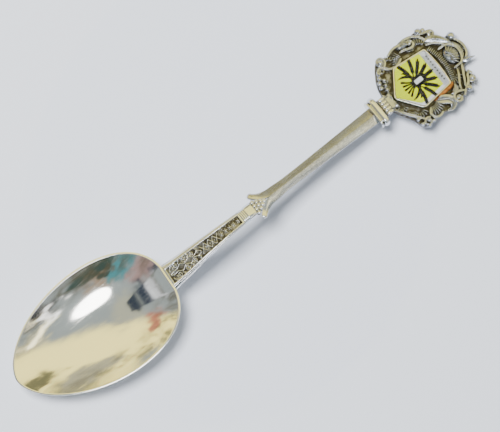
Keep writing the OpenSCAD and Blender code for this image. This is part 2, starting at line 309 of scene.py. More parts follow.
def flute_fan_tree():
    """Flutes that radiate from the origin between two radii."""
    tree = new_tree("Flute Fan", {"Flutes": 7, "Inner Radius": 1.0, "Outer Radius": 3.0,
                                  "Start Angle": 0.0, "Sweep Angle": 1.5,
                                  "Flute Width": 0.4, "Flute Height": 0.5})
    inner, outer = group_input(tree, "Inner Radius"), group_input(tree, "Outer Radius")
    both = math_node(tree, "ADD", inner, outer)
    radius = times(tree, both, 0.5)
    half_len = times(tree, math_node(tree, "SUBTRACT", outer, inner), 0.5)
    arc = add(tree, "GeometryNodeCurveArc",
              {"Resolution": group_input(tree, "Flutes"), "Radius": radius,
               "Start Angle": group_input(tree, "Start Angle"),
               "Sweep Angle": group_input(tree, "Sweep Angle")}, mode="RADIUS")
    place = add(tree, "GeometryNodeInputPosition")
    turn = add(tree, "FunctionNodeAlignRotationToVector", {"Vector": place.outputs[0]}, axis="X")
    size = add(tree, "ShaderNodeCombineXYZ",
               {"X": half_len,
                "Y": times(tree, group_input(tree, "Flute Width"), 0.5),
                "Z": times(tree, group_input(tree, "Flute Height"), 0.5)})
    ball = add(tree, "GeometryNodeMeshUVSphere", {"Segments": 12, "Rings": 8, "Radius": 1.0})
    flute = add(tree, "GeometryNodeTransform",
                {"Geometry": ball.outputs[0], "Scale": size.outputs[0]})
    flutes = add(tree, "GeometryNodeInstanceOnPoints",
                 {"Points": arc.outputs[0], "Instance": flute.outputs[0],
                  "Rotation": turn.outputs[0]})
    return end_tree(tree, flutes.outputs[0])


def scroll_tube_tree():
    """A tube of changing thickness along a line of edges."""
    tree = new_tree("Scroll Tube", {"Sides": 12, "Flatness": 1.0})
    line = add(tree, "GeometryNodeMeshToCurve", {"Mesh": group_input(tree, "Geometry")})
    upright = add(tree, "GeometryNodeSetCurveNormal", {"Curve": line.outputs[0]}, mode="Z_UP")
    thick = add(tree, "GeometryNodeInputNamedAttribute", {"Name": "thickness"}, data_type="FLOAT")
    ring = add(tree, "GeometryNodeCurvePrimitiveCircle",
               {"Resolution": group_input(tree, "Sides"), "Radius": 1.0})
    squash = add(tree, "ShaderNodeCombineXYZ",
                 {"X": 1.0, "Y": group_input(tree, "Flatness"), "Z": 1.0})
    profile = add(tree, "GeometryNodeTransform",
                  {"Geometry": ring.outputs[0], "Scale": squash.outputs[0]})
    tube = add(tree, "GeometryNodeCurveToMesh",
               {"Curve": upright.outputs[0], "Profile Curve": profile.outputs[0],
                "Scale": thick.outputs[0], "Fill Caps": True})
    return end_tree(tree, tube.outputs[0])


def grown(tree, finish, sizes, points=None, thickness=None):
    """Runs a geometry tree on a line of points and gives back its plain mesh."""
    base = bpy.data.meshes.new("line")
    if points is not None:
        edges = [(i, i + 1) for i in range(len(points) - 1)]
        base.from_pydata(np.asarray(points, dtype=float).tolist(), edges, [])
    if thickness is not None:
        layer = base.attributes.new("thickness", "FLOAT", "POINT")
        layer.data.foreach_set("value", np.asarray(thickness, dtype=float))
    carrier = bpy.data.objects.new("carrier", base)
    bpy.context.scene.collection.objects.link(carrier)
    modifier = carrier.modifiers.new("Shape", "NODES")
    modifier.node_group = tree
    sockets = {s.name: s.identifier for s in tree.interface.items_tree if s.in_out == "INPUT"}
    for label, value in sizes.items():
        modifier[sockets[label]] = value
    modifier[sockets["Material"]] = finish
    view = bpy.context.evaluated_depsgraph_get()
    mesh = bpy.data.meshes.new_from_object(carrier.evaluated_get(view))
    bpy.data.objects.remove(carrier)
    return mesh


trees = {}


def tree_for(maker):
    """Each geometry tree is built once."""
    if maker.__name__ not in trees:
        trees[maker.__name__] = maker()
    return trees[maker.__name__]


# --- shader groups and materials ----------------------------------------------------------


def shader_group(name, inputs, outputs, fill):
    """A shader node group with named inputs and outputs, filled once and then shared."""
    if name in bpy.data.node_groups:
        return bpy.data.node_groups[name]
    group = bpy.data.node_groups.new(name, "ShaderNodeTree")
    for label, value in inputs.items():
        kind = "NodeSocketColor" if isinstance(value, tuple) else "NodeSocketFloat"
        socket = group.interface.new_socket(label, in_out="INPUT", socket_type=kind)
        socket.default_value = value
    for label in outputs:
        kind = "NodeSocketColor" if label == "Color" else "NodeSocketFloat"
        group.interface.new_socket(label, in_out="OUTPUT", socket_type=kind)
    group.nodes.new("NodeGroupInput")
    group.nodes.new("NodeGroupOutput")
    for label, socket in fill(group).items():
        group.links.new(socket, group.nodes["Group Output"].inputs[label])
    return group


def object_places(tree, scale=(1.0, 1.0, 1.0), turn=0.0):
    """Object coordinates, stretched and turned about the upright."""
    where = add(tree, "ShaderNodeTexCoord")
    return add(tree, "ShaderNodeMapping", {"Vector": where.outputs["Object"], "Scale": scale,
                                           "Rotation": (0.0, 0.0, turn)}).outputs[0]


def noise(tree, places, scale, detail, rough=0.5, distortion=0.0):
    """Cloudy noise from 0 to 1."""
    return add(tree, "ShaderNodeTexNoise",
               {"Vector": places, "Scale": scale, "Detail": detail, "Roughness": rough,
                "Distortion": distortion}).outputs["Fac"]


def ranged(tree, value, low, high, to_low=0.0, to_high=1.0, easing="LINEAR"):
    """Carries a value from one range to another and holds it between the new ends."""
    return add(tree, "ShaderNodeMapRange",
               {"Value": value, "From Min": low, "From Max": high, "To Min": to_low,
                "To Max": to_high}, interpolation_type=easing).outputs[0]


def blend(tree, factor, a, b):
    """A mix of two colours, each another node's output or a plain value."""
    a, b = (c if isinstance(c, bpy.types.NodeSocket) else (*c, 1.0) for c in (a, b))
    return add(tree, "ShaderNodeMix", {0: factor, 6: a, 7: b}, data_type="RGBA").outputs[2]


def fill_patina(group):
    """Silver that is bright on the high spots, dark where it lies hollow, and dark too where
    painted shade is stored in its input.
    """
    places = object_places(group)
    mottle = noise(group, places, group_input(group, "Mottle Scale"), 4.0, 0.6)
    spread = ranged(group, mottle, 0.3, 0.7, 0.55, 1.3)
    depth = times(group, group_input(group, "Hollow"), spread)
    share = times(group, depth, group_input(group, "Amount"))
    limit = add(group, "ShaderNodeClamp", {"Value": share}).outputs[0]
    tint = ranged(group, noise(group, places, 260.0, 3.0), 0.35, 0.7, 0.0, 0.75)
    warm = blend(group, tint, group_input(group, "Silver"), group_input(group, "Warm"))
    rough = ranged(group, limit, 0.0, 1.0, group_input(group, "Smooth"),
                   group_input(group, "Dull"))
    grainy = ranged(group, mottle, 0.0, 1.0, -0.05, 0.05)
    return {"Color": blend(group, limit, warm, group_input(group, "Dark")),
            "Roughness": math_node(group, "ADD", rough, grainy)}


def patina_group():
    sizes = {"Silver": (0.9, 0.88, 0.82, 1.0), "Dark": (0.1, 0.09, 0.07, 1.0),
             "Warm": (0.8, 0.7, 0.5, 1.0), "Hollow": 0.0, "Amount": 1.0,
             "Mottle Scale": 900.0, "Smooth": 0.12, "Dull": 0.5}
    return shader_group("Patina", sizes, ("Color", "Roughness"), fill_patina)


def fill_hairlines(group):
    """Fine scratches in two directions, as a height and as a mask."""
    cuts = []
    for turn, stretch in ((0.5, (160.0, 5200.0, 900.0)), (-0.9, (220.0, 4300.0, 900.0))):
        places = object_places(group, stretch, turn)
        lines = noise(group, places, group_input(group, "Fineness"), 2.0)
        cuts.append(ranged(group, lines, 0.62, 0.72))
    both = math_node(group, "MAXIMUM", *cuts)
    return {"Mask": both,
            "Height": times(group, both, group_input(group, "Depth"))}


def hairline_group():
    return shader_group("Hairlines", {"Fineness": 1.0, "Depth": 1.0}, ("Height", "Mask"),
                        fill_hairlines)


def fill_smudges(group):
    """Cloudy smears and spots that change the roughness of a polished face."""
    cloud = noise(group, object_places(group), group_input(group, "Scale"), 6.0, 0.65, 0.6)
    return {"Roughness": ranged(group, cloud, 0.45, 0.8, group_input(group, "Low"),
                                group_input(group, "High"))}


def smudge_group():
    return shader_group("Smudges", {"Scale": 120.0, "Low": 0.04, "High": 0.2}, ("Roughness",),
                        fill_smudges)


def spaced(label):
    return label.replace("_", " ")


def new_material(name, **constants):
    """A material and its main shader; an underscore in a setting's name stands for a space."""
    material = bpy.data.materials.new(name)
    material.use_nodes = True
    shader = material.node_tree.nodes["Principled BSDF"]
    for label, value in constants.items():
        shader.inputs[spaced(label)].default_value = value
    return material, material.node_tree, shader


def use_group(tree, group, **values):
    """Places a shader group and feeds its inputs."""
    named = {spaced(label): value for label, value in values.items()}
    node = tree.nodes.new("ShaderNodeGroup")
    node.node_tree = group
    for label, value in named.items():
        if isinstance(value, bpy.types.NodeSocket):
            tree.links.new(value, node.inputs[label])
        else:
            node.inputs[label].default_value = value
    return node


def coat(tree, shader, colour, rough=None):
    """Feeds a material's colour and, where it varies, its roughness."""
    tree.links.new(colour, shader.inputs["Base Color"])
    if rough is not None:
        tree.links.new(rough, shader.inputs["Roughness"])


def bump(tree, shader, height, strength, distance):
    """Lets a height shape the surface."""
    node = add(tree, "ShaderNodeBump",
               {"Height": height, "Strength": strength, "Distance": distance})
    tree.links.new(node.outputs[0], shader.inputs["Normal"])


def scratched(tree, lines, rough, share):
    """Roughness that the scratches raise."""
    more = times(tree, lines.outputs["Mask"], share)
    return math_node(tree, "ADD", rough.outputs["Roughness"], more)


def polished_silver(colour):
    """Mirror silver with faint scratches and smudges, for the bowl."""
    material, tree, shader = new_material("polished_silver", Metallic=1.0)
    smudge = use_group(tree, smudge_group(), Scale=95.0, Low=0.08, High=0.2)
    lines = use_group(tree, hairline_group(), Fineness=0.8, Depth=1.0)
    warm = (colour[0], colour[1] * 0.985, colour[2] * 0.93)
    tone = blend(tree, noise(tree, object_places(tree), 70.0, 3.0), colour, warm)
    coat(tree, shader, tone, scratched(tree, lines, smudge, 0.12))
    bump(tree, shader, lines.outputs["Height"], 0.12, 0.00001)
    return material


def worn_silver(name, colour, warm, amount, smooth, dull, mottle, grain):
    """Cast or rolled silver whose recesses hold a dark patina, and which the stored painted shade
    darkens as well.
    """
    material, tree, shader = new_material(name, Metallic=1.0)
    # The stored attribute holds the patina of the hollows and, on the stem and the bead cluster,
    # painted shade.
    hollow = add(tree, "ShaderNodeAttribute", attribute_name="hollow").outputs["Fac"]
    patina = use_group(tree, patina_group(), Silver=(*colour, 1.0), Warm=(*warm, 1.0),
                       Dark=(*finishes().patina, 1.0), Hollow=hollow, Amount=amount,
                       Mottle_Scale=mottle, Smooth=smooth, Dull=dull)
    lines = use_group(tree, hairline_group(), Fineness=1.1, Depth=0.6)
    coat(tree, shader, patina.outputs["Color"], scratched(tree, lines, patina, 0.1))
    pits = noise(tree, object_places(tree), 3200.0, 3.0)
    bump(tree, shader, math_node(tree, "ADD", pits, lines.outputs["Height"]), grain, 0.00002)
    return material


def enamel(name, colour, spread):
    """Glossy fired enamel with a slightly uneven tone."""
    material, tree, shader = new_material(name, Coat_Weight=0.05, Coat_Roughness=0.05,
                                          Specular_IOR_Level=0.06)
    cloud = noise(tree, object_places(tree), 420.0, 5.0, 0.6)
    other = tuple(min(1.0, c * spread) for c in colour)
    coat(tree, shader, blend(tree, cloud, colour, other),
         ranged(tree, cloud, 0.0, 1.0, 0.12, 0.3))
    bump(tree, shader, cloud, 0.1, 0.00001)
    return material


def clear_resin():
    """The clear dome over the enamel."""
    material, tree, shader = new_material("clear_resin", Base_Color=(1.0, 1.0, 0.97, 1.0),
                                          Transmission_Weight=1.0, IOR=1.16)
    smudge = use_group(tree, smudge_group(), Scale=300.0, Low=0.01, High=0.06)
    tree.links.new(smudge.outputs["Roughness"], shader.inputs["Roughness"])
    bump(tree, shader, noise(tree, object_places(tree), 250.0, 2.0), 0.05, 0.00003)
    return material


def amber_glue(colour):
    """Aged adhesive that has run out beside the shield."""
    material, tree, shader = new_material(
        "amber_glue", Subsurface_Weight=0.3, Subsurface_Radius=(0.001, 0.0004, 0.0001),
        Subsurface_Scale=0.5, Coat_Weight=0.5)
    cloud = noise(tree, object_places(tree), 700.0, 4.0)
    dark = (colour[0] * 0.35, colour[1] * 0.28, colour[2] * 0.3)
    ramp = add(tree, "ShaderNodeValToRGB", {"Fac": cloud})
    for stop, place, tone in zip(ramp.color_ramp.elements, (0.35, 0.65), (dark, colour)):
        stop.position = place
        stop.color = (*tone, 1.0)
    coat(tree, shader, ramp.outputs[0], ranged(tree, cloud, 0.0, 1.0, 0.15, 0.4))
    bump(tree, shader, cloud, 0.3, 0.0001)
    return material


def tang_brass():
    """The plain brass peg inside the handle."""
    material, tree, shader = new_material("tang_brass", Metallic=1.0, Roughness=0.35)
    lines = use_group(tree, hairline_group(), Fineness=1.0, Depth=1.0)
    coat(tree, shader, blend(tree, lines.outputs["Mask"], (0.75, 0.52, 0.2), (0.4, 0.27, 0.1)))
    return material


def floor_paper(colour):
    """The plain pale table."""
    material, tree, shader = new_material("floor_paper", Roughness=0.65, Specular_IOR_Level=0.2)
    shade = tuple(c * 0.985 for c in colour)
    coat(tree, shader, blend(tree, noise(tree, object_places(tree), 18.0, 2.0), colour, shade))
    return material


# --- sizes and colours --------------------------------------------------------------------


def length(name, description, millimetres):
    return FloatProperty(name=name, description=description, default=millimetres * MM,
                         unit="LENGTH", precision=4)


def angle(name, description, degrees):
    return FloatProperty(name=name, description=description, default=math.radians(degrees),
                         subtype="ANGLE")


def colour(name, description, value):
    return FloatVectorProperty(name=name, description=description, default=value,
                               subtype="COLOR", size=3, min=0.0, max=1.0)


class SpoonSizes(bpy.types.PropertyGroup):
    bowl_length: length("Bowl length", "Length of the bowl from its tip to its heel", 37.2)
    bowl_width: length("Bowl width", "Width of the bowl where it is widest", 24.0)
    bowl_depth: length("Bowl depth", "Depth of the hollow below the rim", 5.3)
    bowl_wall: length("Bowl wall", "Thickness of the bowl at its middle", 0.9)
    rim_edge: length("Rim edge", "Height of the outer edge of the rim", 0.45)
    rim_lip: length("Rim lip", "Width of the bright band round the rim", 0.5)
    rim_rise: length("Rim rise", "How much higher the rim is at the heel", 2.0)
    bowl_turn: angle("Bowl turn", "Sideways set of the bowl", 4.5)
    neck_length: length("Neck length", "Length of the relief neck", 18.8)
    heel_width: length("Heel width", "Width of the neck at the bowl", 5.8)
    heel_height: length("Heel height", "Thickness of the neck at the bowl", 2.3)
    neck_width: length("Neck width", "Width of the neck at the cup", 3.0)
    neck_height: length("Neck height", "Thickness of the neck at the cup", 2.0)
    relief_depth: length("Relief depth", "Depth of the neck's sunk panel", 0.34)
    bead_radius: length("Bead radius", "Radius of one bead of the cluster", 0.46)
    stem_waist: length("Stem waist", "Width of the stem where it is thinnest", 2.7)
    stem_low: length("Stem foot", "Width of the stem at its fork", 3.1)
    stem_top: length("Stem top", "Width of the stem at the collar", 3.6)
    scroll_share: FloatProperty(name="Scroll thickness", description="Thickness of the scrolls",
                                default=0.78, min=0.4, max=1.4)
    voxel: length("Casting grain", "Size of the grains that melt the cartouche together", 0.1)
    chief_dots: IntProperty(name="Chief dots", description="Dots on the white band", default=9,
                            min=3, max=14)


class SpoonFinishes(bpy.types.PropertyGroup):
    polished: colour("Polished silver", "Colour of the bowl", (0.93, 0.915, 0.87))
    silver: colour("Silver", "Bright colour of the handle", (0.74, 0.77, 0.82))
    # The patina colour is also the colour of the painted shade on the stem and the bead cluster.
    patina: colour("Patina", "Dark colour in the recesses", (0.07, 0.064, 0.054))
    champagne: colour("Champagne", "Warm tint of the old silver", (0.64, 0.625, 0.565))
    yellow: colour("Shield yellow", "Colour of the shield's field", (0.74, 0.84, 0.0))
    white: colour("Shield white", "Colour of the shield's white parts", (0.86, 0.87, 0.88))
    black: colour("Shield black", "Colour of the wheat sheaf", (0.008, 0.008, 0.01))
    glue: colour("Glue", "Colour of the aged adhesive", (0.42, 0.15, 0.02))


class SpoonStage(bpy.types.PropertyGroup):
    floor: colour("Floor", "Colour of the table", (0.8, 0.84, 0.9))
    camera_distance: length("Camera distance", "From the camera to the spoon", 400.0)
    camera_azimuth: angle("Camera azimuth", "Turn of the camera round the spoon", -22.4)
    camera_height: angle("Camera height", "Angle of the camera above the table", 85.0)
    camera_roll: angle("Camera roll", "Turn of the camera about its line of sight", -16.15)
    lens: FloatProperty(name="Lens", description="Focal length of the camera",
                        default=141.4, unit="CAMERA")
    overhead_light: BoolProperty(name="Overhead light", description="Light the table from above",
                                 default=True)


# --- the bowl -----------------------------------------------------------------------------

TIP_POWER = 0.57
HEEL_POWER = 0.4
HOLLOW_POWER = 2.3
DEEPEST_SHARE = 0.56
# How far from the heel, in millimetres, the bowl is still thickened.
HEEL_REACH = 1.6
BOWL_RINGS = 60


def bowl_edge(s, steps):
    """The bowl's outline from the tip round one side, across the heel and back."""
    long, half = s.bowl_length / MM, s.bowl_width / MM / 2
    peak_u = TIP_POWER / (TIP_POWER + HEEL_POWER)
    peak = peak_u**TIP_POWER * (1 - peak_u) ** HEEL_POWER
    end_u = 1 - (s.heel_width / s.bowl_width * peak) ** (1 / HEEL_POWER)
    u = end_u * (1 - np.cos(np.pi * np.arange(steps + 1) / steps)) / 2
    side = np.stack([long * (u / end_u - 1), half * u**TIP_POWER * (1 - u) ** HEEL_POWER / peak])
    side = side.T
    heel = side[-1, 1]
    across = [(0.0, heel * k) for k in (0.75, 0.5, 0.25, 0.0, -0.25, -0.5, -0.75)]
    return np.concatenate([side, across, side[:0:-1] * (1, -1)])


def bowl_mesh(s):
    """The bowl: a smooth hollow, a bright lip, a rounded edge and a rounded back."""
    edge = bowl_edge(s, 110)
    deep_at = np.array((s.bowl_length / MM * (DEEPEST_SHARE - 1), 0.0))
    reach = edge - deep_at
    far = np.linalg.norm(reach, axis=1)[:, None]
    depth, wall, lip = s.bowl_depth / MM, s.bowl_wall / MM, s.rim_lip / MM
    beyond = np.maximum(0, np.linalg.norm(edge, axis=1) - s.heel_width / MM / 2) / HEEL_REACH
    rim_h = s.rim_edge / MM
    thick = rim_h + (s.heel_height / MM - rim_h) * np.exp(-(beyond**2))

    def ring(share, inset, drop):
        flat = deep_at + reach * share * (1 - inset / far)
        rim = s.rim_rise / s.bowl_length * flat[:, 0]
        return np.column_stack([flat, rim - drop])

    rings = []
    for k in range(1, BOWL_RINGS + 1):
        r = math.sin(math.pi / 2 * k / BOWL_RINGS)
        rings.append(ring(r, lip, depth * (1 - r**HOLLOW_POWER) + 0.03 * r**40))
    for inset, drop in ((lip - 0.05, 0.0), (lip * 0.6, 0.0), (0.14, 0.02),
                        (0.05, 0.07), (0.0, 0.18)):
        rings.append(ring(1.0, inset, drop))
    for inset, share in ((0.0, 0.6), (0.04, 0.86), (0.1, 1.0)):
        rings.append(ring(1.0, inset, 0.18 + (thick - 0.18) * share))
    for k in range(BOWL_RINGS - 1, 0, -1):
        r = math.sin(math.pi / 2 * k / BOWL_RINGS)
        rings.append(ring(r, 0.1, thick + (depth + wall - thick) * (1 - r**HOLLOW_POWER)))
    count = len(edge)
    points, faces = loft(rings, close=False)
    floor_z = s.rim_rise / s.bowl_length * deep_at[0]
    points = np.vstack([points, (*deep_at, floor_z - depth), (*deep_at, floor_z - depth - wall)])
    last = (len(rings) - 1) * count
    for i in range(count):
        j = (i + 1) % count
        faces.append((len(points) - 2, j, i))
        faces.append((len(points) - 1, last + i, last + j))
    turn = -s.bowl_turn
    x, y = points[:, 0].copy(), points[:, 1].copy()
    points[:, 0] = x * math.cos(turn) - y * math.sin(turn)
    points[:, 1] = x * math.sin(turn) + y * math.cos(turn)
    return mesh_from("polished_bowl", heel_corner(s) + points * MM, faces)


def heel_corner(s):
    """The top middle of the bowl's heel, in metres."""
    low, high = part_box("bowl")
    return np.array((handle.origin[0] - s.neck_length, handle.origin[1], high.z))


# --- the relief neck ----------------------------------------------------------------------


def line_height(x, y, knots, width, steps=8):
    """A rounded ridge along a smooth line, as a share of the relief's height."""
    path = curve_through(knots, steps)
    best = np.full(x.shape, 1e9)
    for a, b in zip(path[:-1], path[1:]):
        run = b - a
        share = ((x - a[0]) * run[0] + (y - a[1]) * run[1]) / max(1e-9, run @ run)
        share = np.clip(share, 0, 1)
        best = np.minimum(best, np.hypot(x - a[0] - share * run[0], y - a[1] - share * run[1]))
    return np.sqrt(np.clip(1 - (best / (width / 2)) ** 2, 0, 1))


def curl_knots(centre, start, turns, outer, inner, count=9):
    """Knots of a spiral that runs inwards; a negative number of turns curls the other way."""
    out = []
    for k in range(count):
        t = k / (count - 1)
        a = math.radians(start) + TAU * turns * t
        r = outer + (inner - outer) * t
        out.append((centre[0] + r * math.cos(a), centre[1] + r * math.sin(a)))
    return out


def rosette_height(x, y, centre, radius, petals):
    """A small flower with a round heart."""
    dx, dy = x - centre[0], y - centre[1]
    r = np.hypot(dx, dy) / radius
    leaf = 0.72 + 0.28 * np.cos(petals * np.arctan2(dy, dx))
    cup = np.sqrt(np.clip(1 - (r / np.maximum(0.2, leaf)) ** 2, 0, 1)) * (0.55 + 0.45 * r)
    heart = np.sqrt(np.clip(1 - (r / 0.34) ** 2, 0, 1))
    return np.maximum(0.8 * cup, heart)


# The ornament on the left half of the neck's panel, in millimetres from the bowl's heel; the
# right half mirrors it. Curls: middle, first angle, turns and outer radius.
NECK_CURLS = (((2.3, 0.98), 200, -1.4, 0.66), ((4.5, 0.8), 20, 1.35, 0.58),
              ((6.5, 0.68), 200, -1.3, 0.5))
NECK_VINE = ((0.8, 0.1), (1.5, 0.28), (2.4, 0.25), (3.4, 0.7), (4.4, 0.18), (5.6, 0.62),
             (6.5, 0.14), (7.8, 0.4), (8.5, 0.08))
NECK_LEAVES = (((3.1, 1.0), (3.5, 1.35), (3.2, 1.5)), ((5.4, 0.8), (5.8, 1.05), (5.5, 1.3)),
               ((0.9, 0.8), (1.1, 1.25), (1.6, 1.55)), ((7.5, 0.5), (7.9, 0.8), (7.6, 1.1)))
NECK_TRELLIS = tuple((8.6 + 0.56 * k, 0.74 * math.cos(math.pi * k * 0.5)) for k in range(9))
# The distance from one lozenge, or side dot, to the next.
LOZENGE_STEP = 1.05


def neck_relief(x, share):
    """The neck's ornament from 0 on the sunk ground to 1 on the highest ridge."""
    y = share * np.interp(x, (0, 8, 18.8), (1.75, 1.25, 0.85))
    shapes = []
    for w in (y, -y):
        for centre, start, turns, outer in NECK_CURLS:
            shapes.append(line_height(x, w, curl_knots(centre, start, turns, outer, 0.1), 0.25))
        shapes.append(line_height(x, w, NECK_VINE, 0.24))
        shapes += [0.9 * line_height(x, w, leaf, 0.3, 4) for leaf in NECK_LEAVES]
        shapes.append(line_height(x, w, NECK_TRELLIS, 0.25))
        shapes += [0.75 * rosette_height(x, w, (14.3 + LOZENGE_STEP * k, 0.72), 0.17, 1)
                   for k in range(5)]
    shapes += [rosette_height(x, y, (centre, 0.0), 0.27, 4) for centre in (9.72, 10.84, 11.96)]
    shapes += [rosette_height(x, y, (13.75 + LOZENGE_STEP * k, 0.0), 0.5, 5) for k in range(5)]
    return np.maximum.reduce([np.zeros_like(x), *shapes])


def neck_mesh(s):
    """The neck: a tapered bar whose face is a framed panel of ornament."""
    long = s.neck_length / MM
    rows, cols = 300, 72
    face, power = 0.985, 5
    t = np.linspace(0, 1, rows)[:, None]
    half_w = (s.heel_width + (s.neck_width - s.heel_width) * t**0.8) / MM / 2
    half_h = (s.heel_height + (s.neck_height - s.heel_height) * t) / MM / 2
    top, low = np.linspace(-face, face, cols), np.linspace(face, -face, 16)

    def bulge(v):
        return (1 - np.abs(v) ** power) ** (1 / power)

    side = np.linspace(bulge(face), -bulge(face), 7)[1:-1]
    v = np.concatenate([top, bulge(side), low, -bulge(side)])
    level = np.concatenate([bulge(top), side, -bulge(low), side[::-1]])
    y = half_w * v[None, :]
    z = half_h * level[None, :]
    x = np.broadcast_to(long * t, y.shape).copy()
    flat_x, flat_y = x[:, :cols], y[:, :cols]
    rim = np.interp(flat_x, (0, 3, 9, long), (1.15, 0.95, 0.8, 0.62))
    panel = half_w - rim
    inside = soft_step(panel - np.abs(flat_y), 0.0, 0.14)
    inside = inside * soft_step(flat_x, 0.35, 0.6) * soft_step(long - 0.35 - flat_x, 0.0, 0.2)
    relief = neck_relief(flat_x, flat_y / panel)
    rail = np.exp(-(((np.abs(flat_y) - panel - 0.14) / 0.13) ** 2))
    margin = soft_step(np.abs(flat_y) - panel - 0.2, 0.0, 0.9)
    gutter = np.exp(-(((np.abs(flat_y) - panel - 0.36) / 0.09) ** 2))
    sunk = s.relief_depth / MM * (inside * (1 - 0.95 * relief)) + 0.3 * margin + 0.1 * gutter
    crown = 0.93 * half_h + 0.07 * rail
    z[:, :cols] = np.minimum(z[:, :cols], crown) - sunk
    hollow = np.zeros_like(x)
    ground = inside * np.clip(1.05 - 1.5 * relief, 0, 1)
    hollow[:, :cols] = ground + 0.55 * gutter * (1 - inside) + 0.12 * margin
    hollow[:, :cols] += np.exp(-(((flat_x - long + 0.45) / 0.14) ** 2)) * (np.abs(flat_y) < panel)
    yaw = -s.bowl_turn * (1 - t) ** 3
    pitch = math.acos(handle.along[0])
    lean = pitch * t**3
    rise = (handle.origin[2] - heel_corner(s)[2]) / MM
    start = -s.heel_height / MM / 2
    bow = 0.24 * t * (1 - t) ** 2 + math.tan(pitch) * t**2 * (1 - t)
    centre = start * (1 - ease(t)) + rise * ease(t) + long * bow
    points = np.stack([x - y * np.sin(yaw) + z * np.sin(lean), y * np.cos(yaw),
                       centre + z * np.cos(lean)], axis=-1)
    rings, faces = loft(list(points))
    mesh = mesh_from("relief_neck", heel_corner(s) + rings * MM, faces)
    paint_patina_and_shade(mesh, hollow.ravel())
    return mesh


def paint_patina_and_shade(mesh, values):
    """Stores how hollow each point lies, with painted shade added on some pieces, which the patina
    follows.
    """
    layer = mesh.attributes.new("hollow", "FLOAT", "POINT")
    if len(values) != len(mesh.vertices):
        raise RuntimeError(f"{mesh.name}: {len(values)} hollows for {len(mesh.vertices)} points")
    layer.data.foreach_set("value", np.clip(values, 0, 1).astype(np.float32))


def settle(mesh, station, values):
    """Moves a mesh from the handle's millimetres to its station and stores its hollows, with any
    painted shade.
    """
    write_points(mesh, handle.place(read_points(mesh), station))
    paint_patina_and_shade(mesh, values)


def find_hollows(mesh, passes, reach):
    """Measures how far each point lies below its surroundings, from 0 to 1."""
    places = read_points(mesh)
    count = len(places)
    ends = np.empty(len(mesh.edges) * 2, dtype=np.int64)
    mesh.edges.foreach_get("vertices", ends)
    a, b = ends[0::2], ends[1::2]
    heads, tails = np.concatenate([a, b]), np.concatenate([b, a])
    degree = np.maximum(1, np.bincount(heads, minlength=count))[:, None]
    normals = np.empty(count * 3)
    mesh.vertex_normals.foreach_get("vector", normals)
    around = places.copy()
    for _ in range(passes):
        around = np.stack([np.bincount(heads, around[tails, k], count) for k in range(3)], 1)
        around = around / degree
    rise = ((around - places) * normals.reshape(-1, 3)).sum(axis=1)
    return np.clip(rise / reach, -1, 1)


def bead_row(finish, count, spacing, radius):
    """A row of beads along Y, in millimetres."""
    return grown(tree_for(bead_row_tree), finish,
                 {"Count": count, "Spacing": spacing, "Bead Radius": radius})


def swept(finish, line, sides=12, flatness=1.0):
    """A tube along a line of x, y, z and half thickness."""
    return grown(tree_for(scroll_tube_tree), finish, {"Sides": sides, "Flatness": flatness},
                 line[:, :3], line[:, 3])


# --- turned and ribbed parts --------------------------------------------------------------


def oblong(x, width, height, count=40):
    """A ring of points with half-round sides, upright on the handle's axis."""
    flat = max(0.0, (width - height) / 2)
    out = []
    for k in range(count):
        a = TAU * (k + 0.5) / count
        y = height / 2 * math.cos(a) + math.copysign(flat, math.cos(a))
        out.append((x, y, height / 2 * math.sin(a)))
    return out


def turned(profile, width, height):
    """A turned bar: its profile gives x and how far the surface stands in from full size."""
    return loft([oblong(x, width - 2 * d, height - 2 * d) for x, d in profile])


def rounded_profile(start, end, edge, inset=0.0):
    """A plain band with rounded edges."""
    out = []
    for k in range(7):
        a = math.pi / 2 * k / 6
        out.append((start + edge * (1 - math.cos(a)), inset + edge * (1 - math.sin(a))))
    for k in range(7):
        a = math.pi / 2 * k / 6
        out.append((end - edge * (1 - math.sin(a)), inset + edge * (1 - math.cos(a))))
    return out


def band_mesh(name, profile, width, height, station):
    """A turned band at its station on the handle, with its grooves marked as hollow."""
    points, faces = turned(profile, width, height)
    mesh = mesh_from(name, points, faces)
    settle(mesh, station, find_hollows(mesh, 4, 0.05))
    return mesh


# --- the stem -----------------------------------------------------------------------------


STEM_HIGH = 2.3
# Where the fork begins, measured from the stem's lower end, and how wide each arm's tip is.
FORK_AT = 3.8
ARM_TIP = 1.3


def stem_half(side, low_w, waist_w, top_w, long, high):
    """One half of the stem: a sloping facet that curls outwards at its lower end."""
    rings = []
    for x in np.linspace(long, FORK_AT, 60):
        wide = facet_width(x, low_w, waist_w, top_w, long) + 0.12 * soft_step(6.5 - x, 0.0, 2.7)
        rings.append(stem_section(x, 0.0, wide, high, 0.0, side))
    root = wide
    arm = curve_bezier((3.2, root / 2), (1.8, root / 2), (0.6, 1.25), (-0.45, 2.4), 22)
    total = len(arm)
    for k, (point, run) in enumerate(arm):
        t = k / (total - 1)
        width = np.interp(t, (0, 0.3, 0.7, 1.0), (root, root + 0.1, 1.45, ARM_TIP))
        rings.append(curled_section(point, run, width, high, t, side))
    tip, run = arm[-1]
    for k in range(1, 6):
        a = math.pi / 2 * k / 5
        ahead = (tip[0] + run[0] * 0.6 * math.sin(a), tip[1] + run[1] * 0.6 * math.sin(a))
        rings.append(curled_section(ahead, run, ARM_TIP * math.cos(a) + 0.02, high, 1.0, side,
                                    math.cos(a) + 0.02))
    return loft(rings)


def facet_width(x, low_w, waist_w, top_w, long):
    """Half of the stem's width along its length."""
    t = x / long
    if t < 0.3:
        return (low_w + (waist_w - low_w) * math.sin(math.pi / 2 * t / 0.3)) / 2
    return (waist_w + (top_w - waist_w) * ((t - 0.3) / 0.7) ** 1.2) / 2


